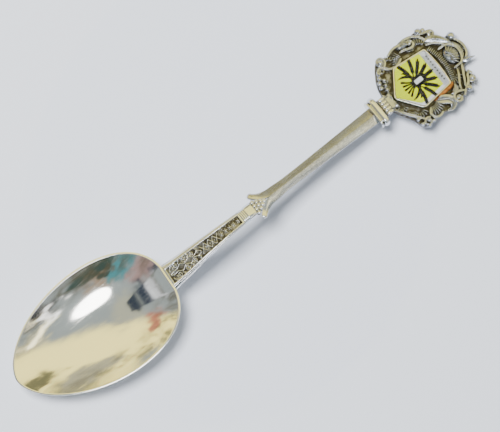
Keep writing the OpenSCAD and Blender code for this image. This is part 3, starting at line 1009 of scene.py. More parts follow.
def curve_bezier(a, b, c, d, count):
    """Points and unit directions along a bent line."""
    a, b, c, d = (np.array(p) for p in (a, b, c, d))
    out = []
    for t in np.linspace(0, 1, count):
        p = a * (1 - t) ** 3 + 3 * b * t * (1 - t) ** 2 + 3 * c * t**2 * (1 - t) + d * t**3
        run = (b - a) * (1 - t) ** 2 + 2 * (c - b) * t * (1 - t) + (d - c) * t**2
        out.append((p, run / np.linalg.norm(run)))
    return out


def facet_outline(width, high, shoulder):
    """A half roof from its inner foot to its ridge, with softened corners."""
    soft = 0.09
    h = high / 2
    slope = np.array((-width, h - shoulder)) / math.hypot(width, h - shoulder)
    corners = [(0.0, -h), (width, -h), (width, shoulder), (0.0, h)]
    steps = [((0, 1), (1, 0)), ((-1, 0), (0, 1)), ((0, -1), slope), (-slope, (0, -1))]
    out = []
    for (y, z), (back, on) in zip(corners, steps):
        size = 0.03 if y == 0.0 else soft
        for t in (0.0, 0.33, 0.67, 1.0):
            out.append((y + size * (back[0] * (1 - t) ** 2 + on[0] * t**2),
                        z + size * (back[1] * (1 - t) ** 2 + on[1] * t**2)))
    return np.array(out)


def stem_section(x, inner, width, high, lift, side):
    outline = facet_outline(width, high, 0.25)
    return [(x, side * (inner + y), z + lift) for y, z in outline]


def curled_section(point, run, width, high, t, side, scale=1.0):
    """A section of the curled arm, which grows rounder towards its tip."""
    roof = facet_outline(width, high, 0.25) - (width / 2, 0.0)
    count = len(roof)
    angle = np.arctan2(roof[:, 1] / high * 2, roof[:, 0] / width * 2)
    tall = high * (1 - 0.42 * ease(t))
    oval = np.stack([width / 2 * signed_power(np.cos(angle), 0.8),
                     tall / 2 * signed_power(np.sin(angle), 0.8)], 1)
    melt = ease(min(1.0, t * 1.1))
    mixed = roof * (1 - melt) + oval * melt
    mixed[:, 1] *= scale
    across = (run[1], -run[0])
    return [(point[0] + across[0] * y, side * (point[1] + across[1] * y), z) for y, z in mixed]


# --- the cartouche ------------------------------------------------------------------------
# Its own axes in millimetres: x from its root to its far end, y to the left, z up.

# Scroll bands: knots of x, y, z and half thickness.
SCROLLS = (
    ((2.3, 6.5, 0.4, 0.28), (3.2, 6.9, 0.5, 0.32), (3.9, 6.2, 0.6, 0.36), (4.7, 5.5, 0.6, 0.36),
     (5.8, 5.2, 0.6, 0.34), (6.9, 5.3, 0.6, 0.32), (7.9, 5.75, 0.6, 0.28)),
    ((6.2, 7.9, 0.3, 0.25), (7.6, 8.35, 0.45, 0.34), (9.2, 8.3, 0.5, 0.36),
     (10.7, 8.0, 0.5, 0.3), (11.4, 7.7, 0.5, 0.22)),
    ((8.7, 6.9, 0.5, 0.25), (9.7, 6.7, 0.7, 0.34), (10.9, 6.25, 0.8, 0.38),
     (11.8, 6.5, 0.85, 0.36), (12.0, 7.1, 0.8, 0.32), (11.5, 7.5, 0.7, 0.28),
     (11.1, 7.1, 0.65, 0.22)),
    ((9.6, 8.5, 0.3, 0.26), (10.9, 8.5, 0.45, 0.34), (12.2, 8.2, 0.5, 0.36),
     (13.3, 7.5, 0.55, 0.36), (14.1, 6.5, 0.5, 0.32), (14.5, 5.5, 0.4, 0.24)),
    ((14.4, 7.4, 0.5, 0.3), (15.2, 7.1, 0.6, 0.34), (16.2, 6.9, 0.6, 0.36),
     (16.8, 6.3, 0.55, 0.32), (16.5, 5.7, 0.5, 0.26), (15.9, 5.8, 0.5, 0.2)),
    ((13.9, 4.9, 0.4, 0.2), (15.0, 4.5, 0.6, 0.3), (16.2, 3.6, 0.7, 0.34),
     (17.2, 2.5, 0.7, 0.34), (18.2, 1.3, 0.6, 0.28)),
    ((18.6, 3.4, 0.3, 0.3), (19.3, 2.5, 0.5, 0.34), (19.9, 1.3, 0.5, 0.36),
     (20.1, 0.0, 0.5, 0.36), (19.7, -1.4, 0.5, 0.34), (18.9, -2.1, 0.45, 0.28)),
    ((18.3, 2.4, 0.3, 0.26), (18.9, 1.3, 0.5, 0.32), (19.1, 0.1, 0.5, 0.32),
     (18.8, -1.1, 0.5, 0.3), (18.2, -1.9, 0.4, 0.24)),
    ((15.4, 2.6, 0.5, 0.24), (16.5, 2.55, 0.8, 0.32), (17.7, 2.1, 0.9, 0.34),
     (18.5, 0.9, 0.8, 0.34), (18.6, -0.4, 0.8, 0.34), (18.1, -1.7, 0.8, 0.32),
     (17.2, -2.4, 0.8, 0.3), (15.7, -2.4, 0.5, 0.24)),
    ((17.4, -2.5, 0.4, 0.26), (16.9, -3.4, 0.55, 0.34), (16.2, -4.6, 0.6, 0.36),
     (15.6, -5.7, 0.55, 0.34), (15.0, -6.7, 0.45, 0.26)),
    ((16.0, -2.9, 0.3, 0.22), (15.5, -3.9, 0.5, 0.3), (14.8, -4.9, 0.55, 0.32),
     (14.2, -5.9, 0.5, 0.28), (13.9, -6.8, 0.4, 0.22)),
    ((17.6, -4.6, 0.4, 0.26), (16.8, -5.2, 0.6, 0.34), (16.1, -6.3, 0.65, 0.36),
     (15.2, -7.0, 0.6, 0.34), (14.3, -7.6, 0.5, 0.3), (13.7, -8.2, 0.4, 0.22)),
    ((14.2, -7.3, 0.5, 0.26), (13.2, -6.8, 0.7, 0.34), (12.1, -6.7, 0.75, 0.36),
     (11.5, -7.4, 0.75, 0.34), (11.7, -8.3, 0.7, 0.32), (12.5, -8.6, 0.6, 0.28),
     (13.0, -8.0, 0.55, 0.22)),
    ((0.4, -2.0, 0.2, 0.3), (1.2, -3.4, 0.4, 0.34), (2.3, -4.9, 0.45, 0.36),
     (3.3, -6.2, 0.4, 0.32), (4.2, -7.1, 0.3, 0.26)),
    ((6.3, -6.0, 0.4, 0.24), (5.6, -6.9, 0.5, 0.32), (5.9, -8.0, 0.5, 0.34),
     (6.9, -8.4, 0.5, 0.32), (7.9, -8.1, 0.45, 0.26)),
    ((0.2, 2.0, 0.1, 0.26), (0.5, 1.0, 0.3, 0.34), (0.4, 0.0, 0.35, 0.36),
     (0.5, -1.0, 0.3, 0.34), (0.2, -1.9, 0.1, 0.26)),
)

# Curled eyes of the scrolls: centre x and y, first angle, turns, outer radius, half thickness.
VOLUTES = (
    (4.0, 7.7, 250, 1.4, 1.15, 0.3), (11.4, 7.3, 300, 1.1, 0.75, 0.26),
    (16.0, 6.3, 60, -1.1, 0.75, 0.25), (12.3, -7.8, 100, 1.2, 0.85, 0.27),
    (17.2, -6.2, 200, 1.1, 0.8, 0.26), (4.3, -7.9, 30, 1.2, 0.95, 0.26),
    (3.1, 6.1, 120, -1.1, 0.6, 0.22), (14.4, 8.0, 250, -1.0, 0.8, 0.25),
)

# Balls and beads: x, y, z and radius.
BALLS = (
    (4.0, 7.7, 0.5, 0.72), (14.3, 8.1, 0.4, 0.72), (15.9, 6.4, 0.5, 0.5), (15.4, 7.75, 0.4, 0.5),
    (19.3, 3.2, 0.3, 0.92), (17.3, -6.2, 0.4, 0.62), (15.4, -7.6, 0.4, 0.8),
    (12.3, -7.8, 0.55, 0.42), (2.3, 6.0, 0.4, 0.5), (1.8, 5.2, 0.4, 0.48), (1.2, 4.4, 0.35, 0.5),
    (2.4, 4.4, 0.4, 0.46), (0.9, 3.4, 0.3, 0.5), (2.0, 3.4, 0.35, 0.4), (1.7, 2.5, 0.3, 0.46),
    (4.5, -7.7, 0.5, 0.5), (2.9, -7.6, 0.35, 0.5), (3.8, -8.6, 0.35, 0.46),
    (2.8, -6.3, 0.4, 0.44), (5.3, -8.4, 0.35, 0.42), (1.0, -3.0, 0.35, 0.36),
    (2.0, -4.6, 0.4, 0.36), (13.0, -5.9, 0.4, 0.34), (11.4, 7.25, 0.7, 0.34),
    (18.4, 3.1, 0.2, 0.4), (17.7, -5.2, 0.3, 0.4), (8.4, 8.4, 0.4, 0.36), (15.7, -7.8, 0.3, 0.4),
)

# Fans of flutes: centre x and y, flutes, inner and outer radius, first angle and sweep in
# degrees, flute width, flute height and level.
FANS = (
    (4.0, 0.0, 21, 9.95, 11.5, -22, 44, 0.33, 0.8, 0.25),
    (8.8, 4.7, 8, 1.3, 3.4, 112, 64, 0.3, 0.7, 0.3),
    (12.3, 5.0, 10, 0.9, 2.9, 22, 132, 0.3, 0.7, 0.3),
    (15.3, 0.1, 9, 0.9, 3.0, -52, 104, 0.4, 1.0, 0.85),
    (7.2, -4.8, 8, 0.9, 3.2, -130, 82, 0.32, 0.7, 0.3),
    (4.4, -4.4, 7, 0.8, 2.4, -165, 105, 0.3, 0.7, 0.25),
    (1.9, -2.0, 5, 0.4, 1.6, -170, 110, 0.28, 0.6, 0.4),
    (3.1, -3.9, 5, 0.4, 1.5, -175, 100, 0.28, 0.6, 0.4),
    (3.2, 2.8, 6, 0.7, 2.2, 112, 96, 0.28, 0.6, 0.15),
    (14.4, -3.2, 6, 0.7, 2.4, -130, 90, 0.3, 0.6, 0.2),
    (0.3, 0.0, 5, 0.2, 1.2, -60, 120, 0.3, 0.5, 0.35),
    (10.6, -5.9, 6, 0.6, 2.0, -150, 110, 0.28, 0.6, 0.3),
    (5.2, 6.6, 6, 0.5, 1.7, 10, 110, 0.26, 0.6, 0.35),
    (16.0, 4.7, 5, 0.3, 1.3, 0, 120, 0.28, 0.5, 0.3),
    (19.2, 0.0, 6, 0.2, 1.2, -75, 150, 0.26, 0.5, 0.3),
    (16.6, -6.6, 5, 0.3, 1.4, -70, 120, 0.26, 0.5, 0.3),
    (12.6, -7.4, 6, 0.4, 1.4, -140, 130, 0.26, 0.5, 0.25),
)

# Leaves: knots of x, y, z and half width along the midrib, and how sharply the leaf is keeled.
LEAVES = (
    (((14.0, 5.6, 0.2, 0.4), (15.2, 5.4, 0.55, 0.95), (16.6, 4.3, 0.7, 0.95),
      (17.7, 2.9, 0.7, 0.7), (18.5, 1.5, 0.6, 0.15)), 0.3),
    (((17.6, -1.9, 0.3, 0.3), (18.4, -2.5, 0.6, 0.62), (19.5, -2.75, 0.75, 0.4),
      (20.6, -3.1, 0.6, 0.06)), 0.2),
    (((8.2, -5.4, 0.3, 0.5), (9.3, -6.0, 0.7, 0.95), (10.4, -6.8, 0.9, 1.0),
      (10.8, -7.9, 0.8, 0.8), (10.0, -8.7, 0.5, 0.5), (8.8, -8.5, 0.3, 0.2)), -0.3),
    (((8.6, 7.6, 0.2, 0.3), (9.4, 7.7, 0.5, 0.6), (10.4, 7.5, 0.6, 0.5), (11.0, 7.0, 0.6, 0.1)),
     0.3),
    (((13.6, -5.0, 0.2, 0.4), (13.1, -6.0, 0.5, 0.7), (12.3, -6.4, 0.6, 0.55),
      (11.2, -6.2, 0.4, 0.1)), 0.3),
    (((1.6, 1.9, 0.1, 0.3), (1.2, 1.2, 0.4, 0.6), (1.3, 0.2, 0.4, 0.2)), 0.25),
    (((1.6, -1.9, 0.1, 0.3), (1.2, -1.2, 0.4, 0.6), (1.3, -0.2, 0.4, 0.2)), 0.25),
)

# The levels of the back plate's two faces, and its outline, which follows the scrolls.
PLATE_LEVELS = (-1.3, -0.2)
PLATE = (
    (-0.05, 0.0), (0.0, 2.0), (0.6, 4.4), (1.9, 6.6), (3.4, 8.3), (4.6, 8.6), (6.2, 7.9),
    (8.2, 8.5), (10.4, 8.6), (12.2, 8.2), (13.6, 8.5), (15.2, 8.0), (16.4, 6.9), (16.7, 5.4),
    (17.7, 4.1), (19.3, 3.8), (20.1, 2.3), (20.3, 0.4), (20.0, -1.5), (19.4, -2.9), (18.0, -3.2),
    (17.4, -4.4), (17.9, -6.0), (16.6, -7.2), (15.2, -8.1), (13.6, -8.0), (12.2, -8.5),
    (10.6, -8.6), (8.9, -8.6), (7.4, -8.2), (5.9, -8.3), (4.2, -8.8), (2.7, -8.0), (2.2, -6.2),
    (1.1, -4.2), (0.1, -2.2),
)


def leaf_mesh(knots, keel):
    """A closed leaf with a keeled or hollow face along its midrib."""
    line = curve_through(knots, 7)
    rings = []
    for point, across in zip(line, sideways(line)):
        ring = []
        for k in range(16):
            a = TAU * k / 16
            offset = point[3] * math.cos(a)
            rim = 0.2 * math.sin(a)
            lift = keel * (1 - abs(math.cos(a))) * (1 if math.sin(a) > 0 else 0.3)
            flat = point[:2] + across * offset
            ring.append((flat[0], flat[1], point[2] + rim + lift))
        rings.append(ring)
    return mesh_from("leaf", *loft(rings))


def plate_mesh(low, top):
    """The back plate with softened edges."""
    outline = curve_through(list(PLATE) + [PLATE[0]], 5)[:-1]
    steps = ((0.5, low), (0.12, low + 0.12), (0.0, low + 0.4), (0.0, top - 0.15), (0.15, top),
             (0.8, top))
    return mesh_from("plate", *loft(inset_rings(outline, np.array((10.0, 0.0)), steps)))


def shifted(mesh, x=0.0, y=0.0, z=0.0):
    write_points(mesh, read_points(mesh) + (x, y, z))
    return mesh


def volute_line(x, y, start, turns, outer, thick):
    """A spiral that rises and thins towards its eye: x, y, z and thickness."""
    t = np.linspace(0, 1, 30)
    angle = math.radians(start) + TAU * turns * t
    radius = outer * (1 - 0.62 * t)
    return np.stack([x + radius * np.cos(angle), y + radius * np.sin(angle), 0.45 + 0.25 * t,
                     thick * (1 - 0.35 * t)], 1)


def edge_rails(line):
    """Two fine lines that run along the edges of a scroll band."""
    across = sideways(line)
    rails = []
    for side in (1, -1):
        rail = line.copy()
        rail[:, :2] += across * (side * 0.62 * line[:, 3:4])
        rail[:, 2] += 0.72 * line[:, 3]
        rail[:, 3] = 0.1
        rails.append(rail)
    return rails


def cartouche_parts(finish):
    """The cartouche's melted shapes and its crisp ones, each as meshes in millimetres."""
    share = sizes().scroll_share
    melt, crisp = [plate_mesh(*PLATE_LEVELS)], []
    for knots in SCROLLS:
        line = curve_through(knots, 7) * (1, 1, 1, share)
        melt.append(swept(finish, line))
        crisp += [swept(finish, rail, 6) for rail in edge_rails(line)]
        melt += [ball_mesh(end[0], end[1], end[2], end[3] * 1.3) for end in (line[0], line[-1])]
    for volute in VOLUTES:
        line = volute_line(*volute)
        melt.append(swept(finish, line))
        inner = line[line.shape[0] // 5:] + (0, 0, 0.2, 0)
        inner[:, 3] = 0.09
        crisp.append(swept(finish, inner, 6))
    for x, y, z, radius in BALLS:
        melt.append(ball_mesh(x, y, z, radius))
    fan = tree_for(flute_fan_tree)
    for x, y, flutes, inner, outer, start, sweep, width, height, level in FANS:
        values = {"Flutes": flutes, "Inner Radius": inner, "Outer Radius": outer,
                  "Start Angle": math.radians(start), "Sweep Angle": math.radians(sweep),
                  "Flute Width": width, "Flute Height": height}
        crisp.append(shifted(grown(fan, finish, values), x, y, level))
    for knots, keel in LEAVES:
        melt.append(leaf_mesh(knots, keel))
        vein = curve_through(knots, 6) + (0, 0, 0.2 + max(keel, 0.0), 0)
        vein[:, 3] = 0.08
        crisp.append(swept(finish, vein[1:-2], 6))
    melt.append(shell_dome())
    melt.append(root_block())
    return melt, crisp


def shell_dome():
    """The low dome under the shell's ribs at the far end."""
    dome = ball_mesh(0.0, 0.0, 0.0, 1.0)
    write_points(dome, read_points(dome) * (1.7, 2.1, 0.95) + (17.0, 0.1, 0.1))
    return dome


def recess_shares(points, cell=0.12):
    """How far each point lies below the work around it, from 0 to 1, seen from above."""
    low = points[:, :2].min(axis=0) - 2.0
    size = np.ceil((points[:, :2].max(axis=0) + 2.0 - low) / cell).astype(int) + 1
    top = np.full(size, -9.0)
    spot = ((points[:, :2] - low) / cell).astype(int)
    np.maximum.at(top, (spot[:, 0], spot[:, 1]), points[:, 2])
    gx = low[0] + cell * np.arange(size[0])[:, None]
    gy = low[1] + cell * np.arange(size[1])[None, :]
    in_shield = (gx > 2.4) & (gx < 13.2) & (np.abs(gy) < np.interp(gx, (1.4, 5.3, 13.4),
                                                                 (0.5, 5.0, 4.3)))
    top[in_shield] = np.maximum(top[in_shield], 0.9)
    known = (top > -8).astype(float)
    level = np.where(known > 0, top, 0.0)
    shares = []
    for reach, depth in ((3, 0.22), (8, 0.55)):
        wide, weight = blurred(level, reach), blurred(known, reach)
        around = wide / np.maximum(weight, 1e-6)
        here = around[spot[:, 0], spot[:, 1]]
        shares.append(np.clip((here - points[:, 2]) / depth, 0, 1))
    return np.clip(0.55 * shares[0] + 0.6 * shares[1], 0, 1)


def blurred(grid, reach):
    """A box blur, twice over."""
    kernel = np.ones(2 * reach + 1) / (2 * reach + 1)
    for _ in range(2):
        for axis in (0, 1):
            grid = np.apply_along_axis(np.convolve, axis, grid, kernel, mode="same")
    return grid


def root_block():
    """The cartouche's solid root against the capital."""
    rings = [[(x, y, z) for y, z in ((-2.0, -1.25), (2.0, -1.25), (2.0, 0.0), (1.2, 0.75),
                                     (-1.2, 0.75), (-2.0, 0.0))] for x in (0.0, 1.2)]
    return mesh_from("root", *loft(rings))


def ball_mesh(x, y, z, radius):
    work = bmesh.new()
    bmesh.ops.create_icosphere(work, subdivisions=3, radius=radius)
    bmesh.ops.translate(work, verts=work.verts, vec=(x, y, z))
    mesh = bpy.data.meshes.new("ball")
    work.to_mesh(mesh)
    work.free()
    return mesh


def melted(mesh, grain):
    """Melts overlapping shapes into one cast skin and softens it."""
    carrier = bpy.data.objects.new("casting", mesh)
    bpy.context.scene.collection.objects.link(carrier)
    skin = carrier.modifiers.new("Skin", "REMESH")
    skin.mode = "VOXEL"
    skin.voxel_size = grain
    skin.use_smooth_shade = True
    soften = carrier.modifiers.new("Soften", "SMOOTH")
    soften.factor = 0.5
    soften.iterations = 2
    view = bpy.context.evaluated_depsgraph_get()
    cast = bpy.data.meshes.new_from_object(carrier.evaluated_get(view))
    bpy.data.objects.remove(carrier)
    return cast


# --- the shield ---------------------------------------------------------------------------


# Where the white chief begins and where the tie's middle lies, from the cartouche's root.
CHIEF_AT = 11.48
TIE_AT = 7.88


def shield_edge(inset, s_at=1.4, long=12.0, shoulder=3.9, wide=10.6, top=9.0, bulge=0.35):
    """The shield's outline, drawn in by an inset and with softly rounded corners."""
    corners = [(0.0, 0.0), (shoulder, -wide / 2)]
    corners += [(long - bulge * k * k, k * top / 2) for k in (-1, -0.67, -0.33, 0, 0.33, 0.67, 1)]
    corners += [(shoulder, wide / 2)]
    drawn = []
    count = len(corners)
    for i, p in enumerate(corners):
        a, b = np.array(corners[i - 1]), np.array(corners[(i + 1) % count])
        p = np.array(p)
        m = np.array((-(p - a)[1], (p - a)[0])) / np.linalg.norm(p - a)
        q = np.array((-(b - p)[1], (b - p)[0])) / np.linalg.norm(b - p)
        drawn.append(p + inset * (m + q) / (1 + m @ q))
    out = []
    for i, p in enumerate(drawn):
        a, b = drawn[i - 1], drawn[(i + 1) % count]
        if 3 <= i <= 7:
            out.append(p)
            continue
        soft = 0.45 if i in (2, 8) else 0.7
        before = p + (a - p) / np.linalg.norm(a - p) * soft
        after = p + (b - p) / np.linalg.norm(b - p) * soft
        for t in np.linspace(0, 1, 6):
            out.append(before * (1 - t) ** 2 + 2 * p * t * (1 - t) + after * t**2)
    return np.array(out) + (s_at, 0.0)


def slab_rings(insets):
    return [np.column_stack([shield_edge(i), np.full(len(shield_edge(i)), z)]) for i, z in insets]


def slab(name, outline, low, high, soft=0.05):
    """A flat plate with a softened upper edge."""
    steps = ((0.0, low), (0.0, high - soft), (soft * 0.4, high - soft * 0.3), (soft, high))
    rings = inset_rings(outline, outline.mean(axis=0), steps)
    return placed_mesh(name, *loft(rings), smooth=False)


def cut_outline(outline, x, keep):
    """Keeps the part of an outline on one side of a station."""
    out = []
    count = len(outline)
    for i in range(count):
        a, b = outline[i], outline[(i + 1) % count]
        inside_a, inside_b = (a[0] - x) * keep >= 0, (b[0] - x) * keep >= 0
        if inside_a:
            out.append(a)
        if inside_a != inside_b:
            out.append(a + (b - a) * (x - a[0]) / (b[0] - a[0]))
    return np.array(out)


def crest_station():
    return handle.span("capital")[1]


def placed_mesh(name, points, faces, smooth=True):
    return mesh_from(name, handle.place(points, crest_station()), faces, smooth)


def tray_mesh():
    """The shield's metal tray with a rounded rim."""
    rings = slab_rings(((0.25, 0.05), (0.05, 0.05), (0.0, 0.12), (0.0, 0.9), (0.03, 1.0),
                        (0.1, 1.05), (0.22, 1.05), (0.3, 0.98), (0.32, 0.6)))
    return placed_mesh("shield_base", *loft(rings))


def dome_mesh():
    """The clear dome over the enamel, steep at its edge and nearly level over its middle."""
    outline = shield_edge(0.3)
    middle = outline.mean(axis=0)
    rings = [np.column_stack([outline, np.full(len(outline), 0.96)])]
    for share in (1.0, 0.9995, 0.998, 0.994, 0.988, 0.98, 0.965, 0.945, 0.92, 0.88, 0.8, 0.68, 0.5,
                  0.3, 0.1, 0.02):
        level = 1.04 + 0.3 * math.sqrt(1 - share**50) + 0.25 * (1 - share**2)
        flat = middle + (outline - middle) * share
        rings.append(np.column_stack([flat, np.full(len(flat), level)]))
    return placed_mesh("clear_dome", *loft(rings))


def wheat_ear(finish, angle, reach, bow, root=(0.0, 0.0)):
    """One ear: a bent stalk with pairs of grains along its upper part."""
    a = math.radians(angle)
    way = np.array((math.cos(a), math.sin(a)))
    side = np.array((-way[1], way[0]))
    t = np.linspace(0, 1, 16)
    line = np.array(root) + np.outer(reach * t, way) + np.outer(bow * t**2.2, side)
    stalk = np.column_stack([line, np.zeros(len(line)), 0.17 - 0.08 * t])
    parts = [swept(finish, stalk, 8, 0.5)]
    grains = []
    for share in np.linspace(0.45, 1.0, 7):
        k = share * (len(line) - 1)
        i = min(len(line) - 2, int(k))
        p = line[i] + (line[i + 1] - line[i]) * (k - i)
        run = line[i + 1] - line[i]
        heading = math.atan2(run[1], run[0])
        for turn in (0.48, -0.48):
            if share == 1.0 and turn < 0:
                continue
            lean = 0.0 if share == 1.0 else turn
            way = np.array((math.cos(heading + lean), math.sin(heading + lean)))
            grains.append((p + way * 0.3, heading + lean))
    for centre, heading in grains:
        parts.append(grain_mesh(centre, heading))
    return parts


def grain_mesh(centre, heading, long=0.46, wide=0.19, high=0.07):
    """One flat pointed grain."""
    rings = []
    for share in (-1.0, -0.6, 0.0, 0.5, 0.85, 1.0):
        girth = math.sqrt(max(0.0, 1 - abs(share) ** 1.6)) + 0.04
        ring = []
        for k in range(8):
            b = TAU * k / 8
            u, v = long * share, wide * girth * math.cos(b)
            ring.append((centre[0] + u * math.cos(heading) - v * math.sin(heading),
                         centre[1] + u * math.sin(heading) + v * math.cos(heading),
                         high * girth * math.sin(b)))
        rings.append(ring)
    return mesh_from("grain", *loft(rings))


def blade_mesh(knots, high=0.05):
    """One flat bent leaf or stalk of the sheaf."""
    line = curve_through(knots, 6)
    section = ((-1, 0), (-0.7, 1), (0.7, 1), (1, 0), (0.7, -1), (-0.7, -1))
    rings = [[(*(point[:2] + across * point[2] * c), high * h) for c, h in section]
             for point, across in zip(line, sideways(line))]
    return mesh_from("blade", *loft(rings))


# --- operators ----------------------------------------------------------------------------


def sizes():
    return bpy.context.scene.spoon_sizes


def finishes():
    return bpy.context.scene.spoon_finishes


silvers = {}


def silver(kind):
    """The bright, relief and cast silvers, each made once."""
    if kind not in silvers:
        f = finishes()
        # The cast silver is a darker, cooler copy of the handle's silver: painted shade over the
        # cartouche's relief. The relief silver is a touch cooler.
        shade, amount, smooth, dull, mottle, grain = {
            "bright": ((1.0, 1.0, 1.0), 1.3, 0.12, 0.4, 900.0, 0.2),
            "relief": ((1.0, 1.0, 1.03), 1.0, 0.14, 0.5, 700.0, 0.5),
            "cast": ((0.6, 0.62, 0.7), 1.1, 0.15, 0.5, 1300.0, 1.0)}[kind]
        tone = tuple(c * s for c, s in zip(f.silver, shade))
        warm = tuple(c * s for c, s in zip(f.champagne, shade))
        silvers[kind] = worn_silver(f"{kind}_worn", tone, warm, amount, smooth, dull, mottle,
                                    grain)
    return silvers[kind]


# From the middle of the spoon to the point the camera looks at, in millimetres.
AIM_SHIFT = Vector((0.36, -1.46, 4.0))
# The way to the room's creamy side, the colours of its two sides, and the light that the room
# gives to dull surfaces.
CREAM_WAY = (0.75, 0.66, -0.05)
COOL_SIDE = (0.44, 0.51, 0.53)
CREAM_SIDE = (2.1, 1.86, 0.66)
FILL_LIGHT = (0.34, 0.36, 0.39)
# The two lamps: place and size in metres, watts and colour. The overhead one lights dull
# surfaces and the low one is only mirrored.
OVERHEAD = ((-0.05, 0.2, 0.66), (0.26, 0.24), 9.4, (0.985, 0.99, 1.02))
LOW_LAMP = ((-0.18, -0.33, 0.51), (0.31, 0.29), 2.4, (0.98, 0.99, 1.0))
# Soft patches of the room: direction, width in degrees and colour.
ROOM_PATCHES = (
    ((0.26, 0.88, 0.37), 14, (0.62, 0.6, 0.42)),
    ((-0.5, 0.15, 0.85), 17, (0.6, 0.62, 0.5)),
    ((-0.45, -0.78, 0.42), 15, (0.5, 0.38, 0.28)),
    ((-0.72, -0.61, 0.32), 16, (0.1, 0.36, 0.42)),
    ((-0.88, -0.25, 0.38), 13, (0.55, 0.38, 0.38)),
    ((-0.31, -0.92, 0.24), 9, (0.06, 0.1, 0.09)),
    ((-0.78, 0.11, 0.61), 9, (0.03, 0.045, 0.08)),
    ((-0.97, 0.14, 0.21), 9, (0.05, 0.07, 0.1)),
    ((-0.92, 0.2, 0.34), 7, (1.1, 1.15, 1.25)),
    ((-0.6, 0.61, 0.52), 6, (0.75, 0.26, 0.17)),
    ((0.66, 0.46, 0.57), 13, (0.26, 0.25, 0.13)),
    ((0.4, -0.74, 0.53), 14, (0.85, 0.78, 0.42)),
    ((0.24, -0.91, 0.33), 11, (0.05, 0.05, 0.055)),
    ((0.29, -0.8, 0.52), 10, (3.0, 2.8, 1.9)),
    ((0.1, -0.86, 0.49), 5, (2.6, 2.65, 2.7)),
)


class SPOON_OT_stage(bpy.types.Operator):
    """Lays the table and sets the lights and the camera"""

    bl_idname = "spoon.stage"
    bl_label = "Stage"

    def execute(self, context):
        stage = context.scene.spoon_stage
        work = bmesh.new()
        bmesh.ops.create_grid(work, x_segments=8, y_segments=8, size=3.0)
        mesh = bpy.data.meshes.new("table")
        work.to_mesh(mesh)
        work.free()
        mesh.materials.append(floor_paper(stage.floor))
        table = bpy.data.objects.new("table", mesh)
        context.scene.collection.objects.link(table)
        self.sky(context)
        if stage.overhead_light:
            above = self.lamp("overhead", *OVERHEAD)
            above.visible_glossy = False
        low = self.lamp("low_lamp", *LOW_LAMP)
        low.data.shape = "ELLIPSE"
        low.visible_diffuse = False
        self.view(context, stage)
        return {"FINISHED"}

    def lamp(self, name, place, size, power, colour):
        """A soft rectangular light that faces the spoon."""
        light = bpy.data.lights.new(name, "AREA")
        light.shape = "RECTANGLE"
        light.size, light.size_y = size
        light.energy = power
        light.color = colour
        holder = bpy.data.objects.new(name, light)
        holder.location = place
        away = Vector(place) - Vector((0.0, 0.0, 0.005))
        holder.rotation_euler = away.to_track_quat("Z", "Y").to_euler()
        bpy.context.scene.collection.objects.link(holder)
        return holder

    def sky(self, context):
        """A room, creamy on its far side and blue grey with soft patches on its near side."""
        world = bpy.data.worlds.new("room")
        context.scene.world = world
        world.use_nodes = True
        tree = world.node_tree
        plain = add(tree, "ShaderNodeTexCoord").outputs["Generated"]
        ripple = add(tree, "ShaderNodeTexNoise",
                     {"Vector": plain, "Scale": 4.0, "Detail": 5.0, "Roughness": 0.6})
        shift = vector_node(tree, "SUBTRACT", ripple.outputs["Color"], (0.5, 0.5, 0.5))
        bend = vector_node(tree, "MULTIPLY", shift.outputs[0], (0.3, 0.3, 0.3))
        where = vector_node(tree, "ADD", plain, bend.outputs[0]).outputs[0]
        side = vector_node(tree, "DOT_PRODUCT", where, CREAM_WAY).outputs["Value"]
        shade = blend(tree, ranged(tree, side, -0.2, 0.03, easing="SMOOTHSTEP"), COOL_SIDE,
                      CREAM_SIDE)
        for way, width, tone in ROOM_PATCHES:
            shade = self.patch(tree, where, shade, way, width, tone)
        shade = self.clutter(tree, plain, shade)
        bounces = add(tree, "ShaderNodeLightPath").outputs["Diffuse Depth"]
        dull = math_node(tree, "MINIMUM", bounces, 1.0)
        back = tree.nodes["Background"]
        tree.links.new(blend(tree, dull, shade, FILL_LIGHT), back.inputs["Color"])
        back.inputs["Strength"].default_value = 1.0

    def patch(self, tree, where, under, way, width, tone):
        """Adds one soft patch of the room, seen in a direction and of a width in degrees."""
        aim = tuple(Vector(way).normalized())
        near = vector_node(tree, "DOT_PRODUCT", where, aim).outputs["Value"]
        edge = 1 - math.cos(math.radians(width))
        share = ranged(tree, near, 1 - 2.0 * edge, 1 - 0.15 * edge, easing="SMOOTHSTEP")
        return blend(tree, share, under, tone)

    def clutter(self, tree, where, under):
        """Dark shapes low round the room."""
        low = add(tree, "ShaderNodeSeparateXYZ", {"Vector": where}).outputs["Z"]
        height = ranged(tree, low, 0.62, 0.3)
        cut = ranged(tree, noise(tree, where, 7.0, 5.0, 0.65, 0.5), 0.46, 0.58)
        share = times(tree, times(tree, height, cut), 0.85)
        return blend(tree, share, under, (0.13, 0.115, 0.075))

    def view(self, context, stage):
        """The camera looks down at the spoon from a little in front of it."""
        aim = Vector((cad_low.x + cad_high.x, cad_low.y + cad_high.y, 0.0)) / 2
        aim += AIM_SHIFT * MM
        turn, height = stage.camera_azimuth, stage.camera_height
        back = Vector((math.sin(turn) * math.cos(height), -math.cos(turn) * math.cos(height),
                       math.sin(height)))
        data = bpy.data.cameras.new("camera")
        data.lens = stage.lens
        data.sensor_width = 36.0
        data.clip_start, data.clip_end = 0.01, 20.0
        holder = bpy.data.objects.new("camera", data)
        holder.location = aim + back * stage.camera_distance
        spin = Quaternion((0.0, 0.0, 1.0), stage.camera_roll)
        holder.rotation_euler = (back.to_track_quat("Z", "Y") @ spin).to_euler()
        context.scene.collection.objects.link(holder)
        context.scene.camera = holder


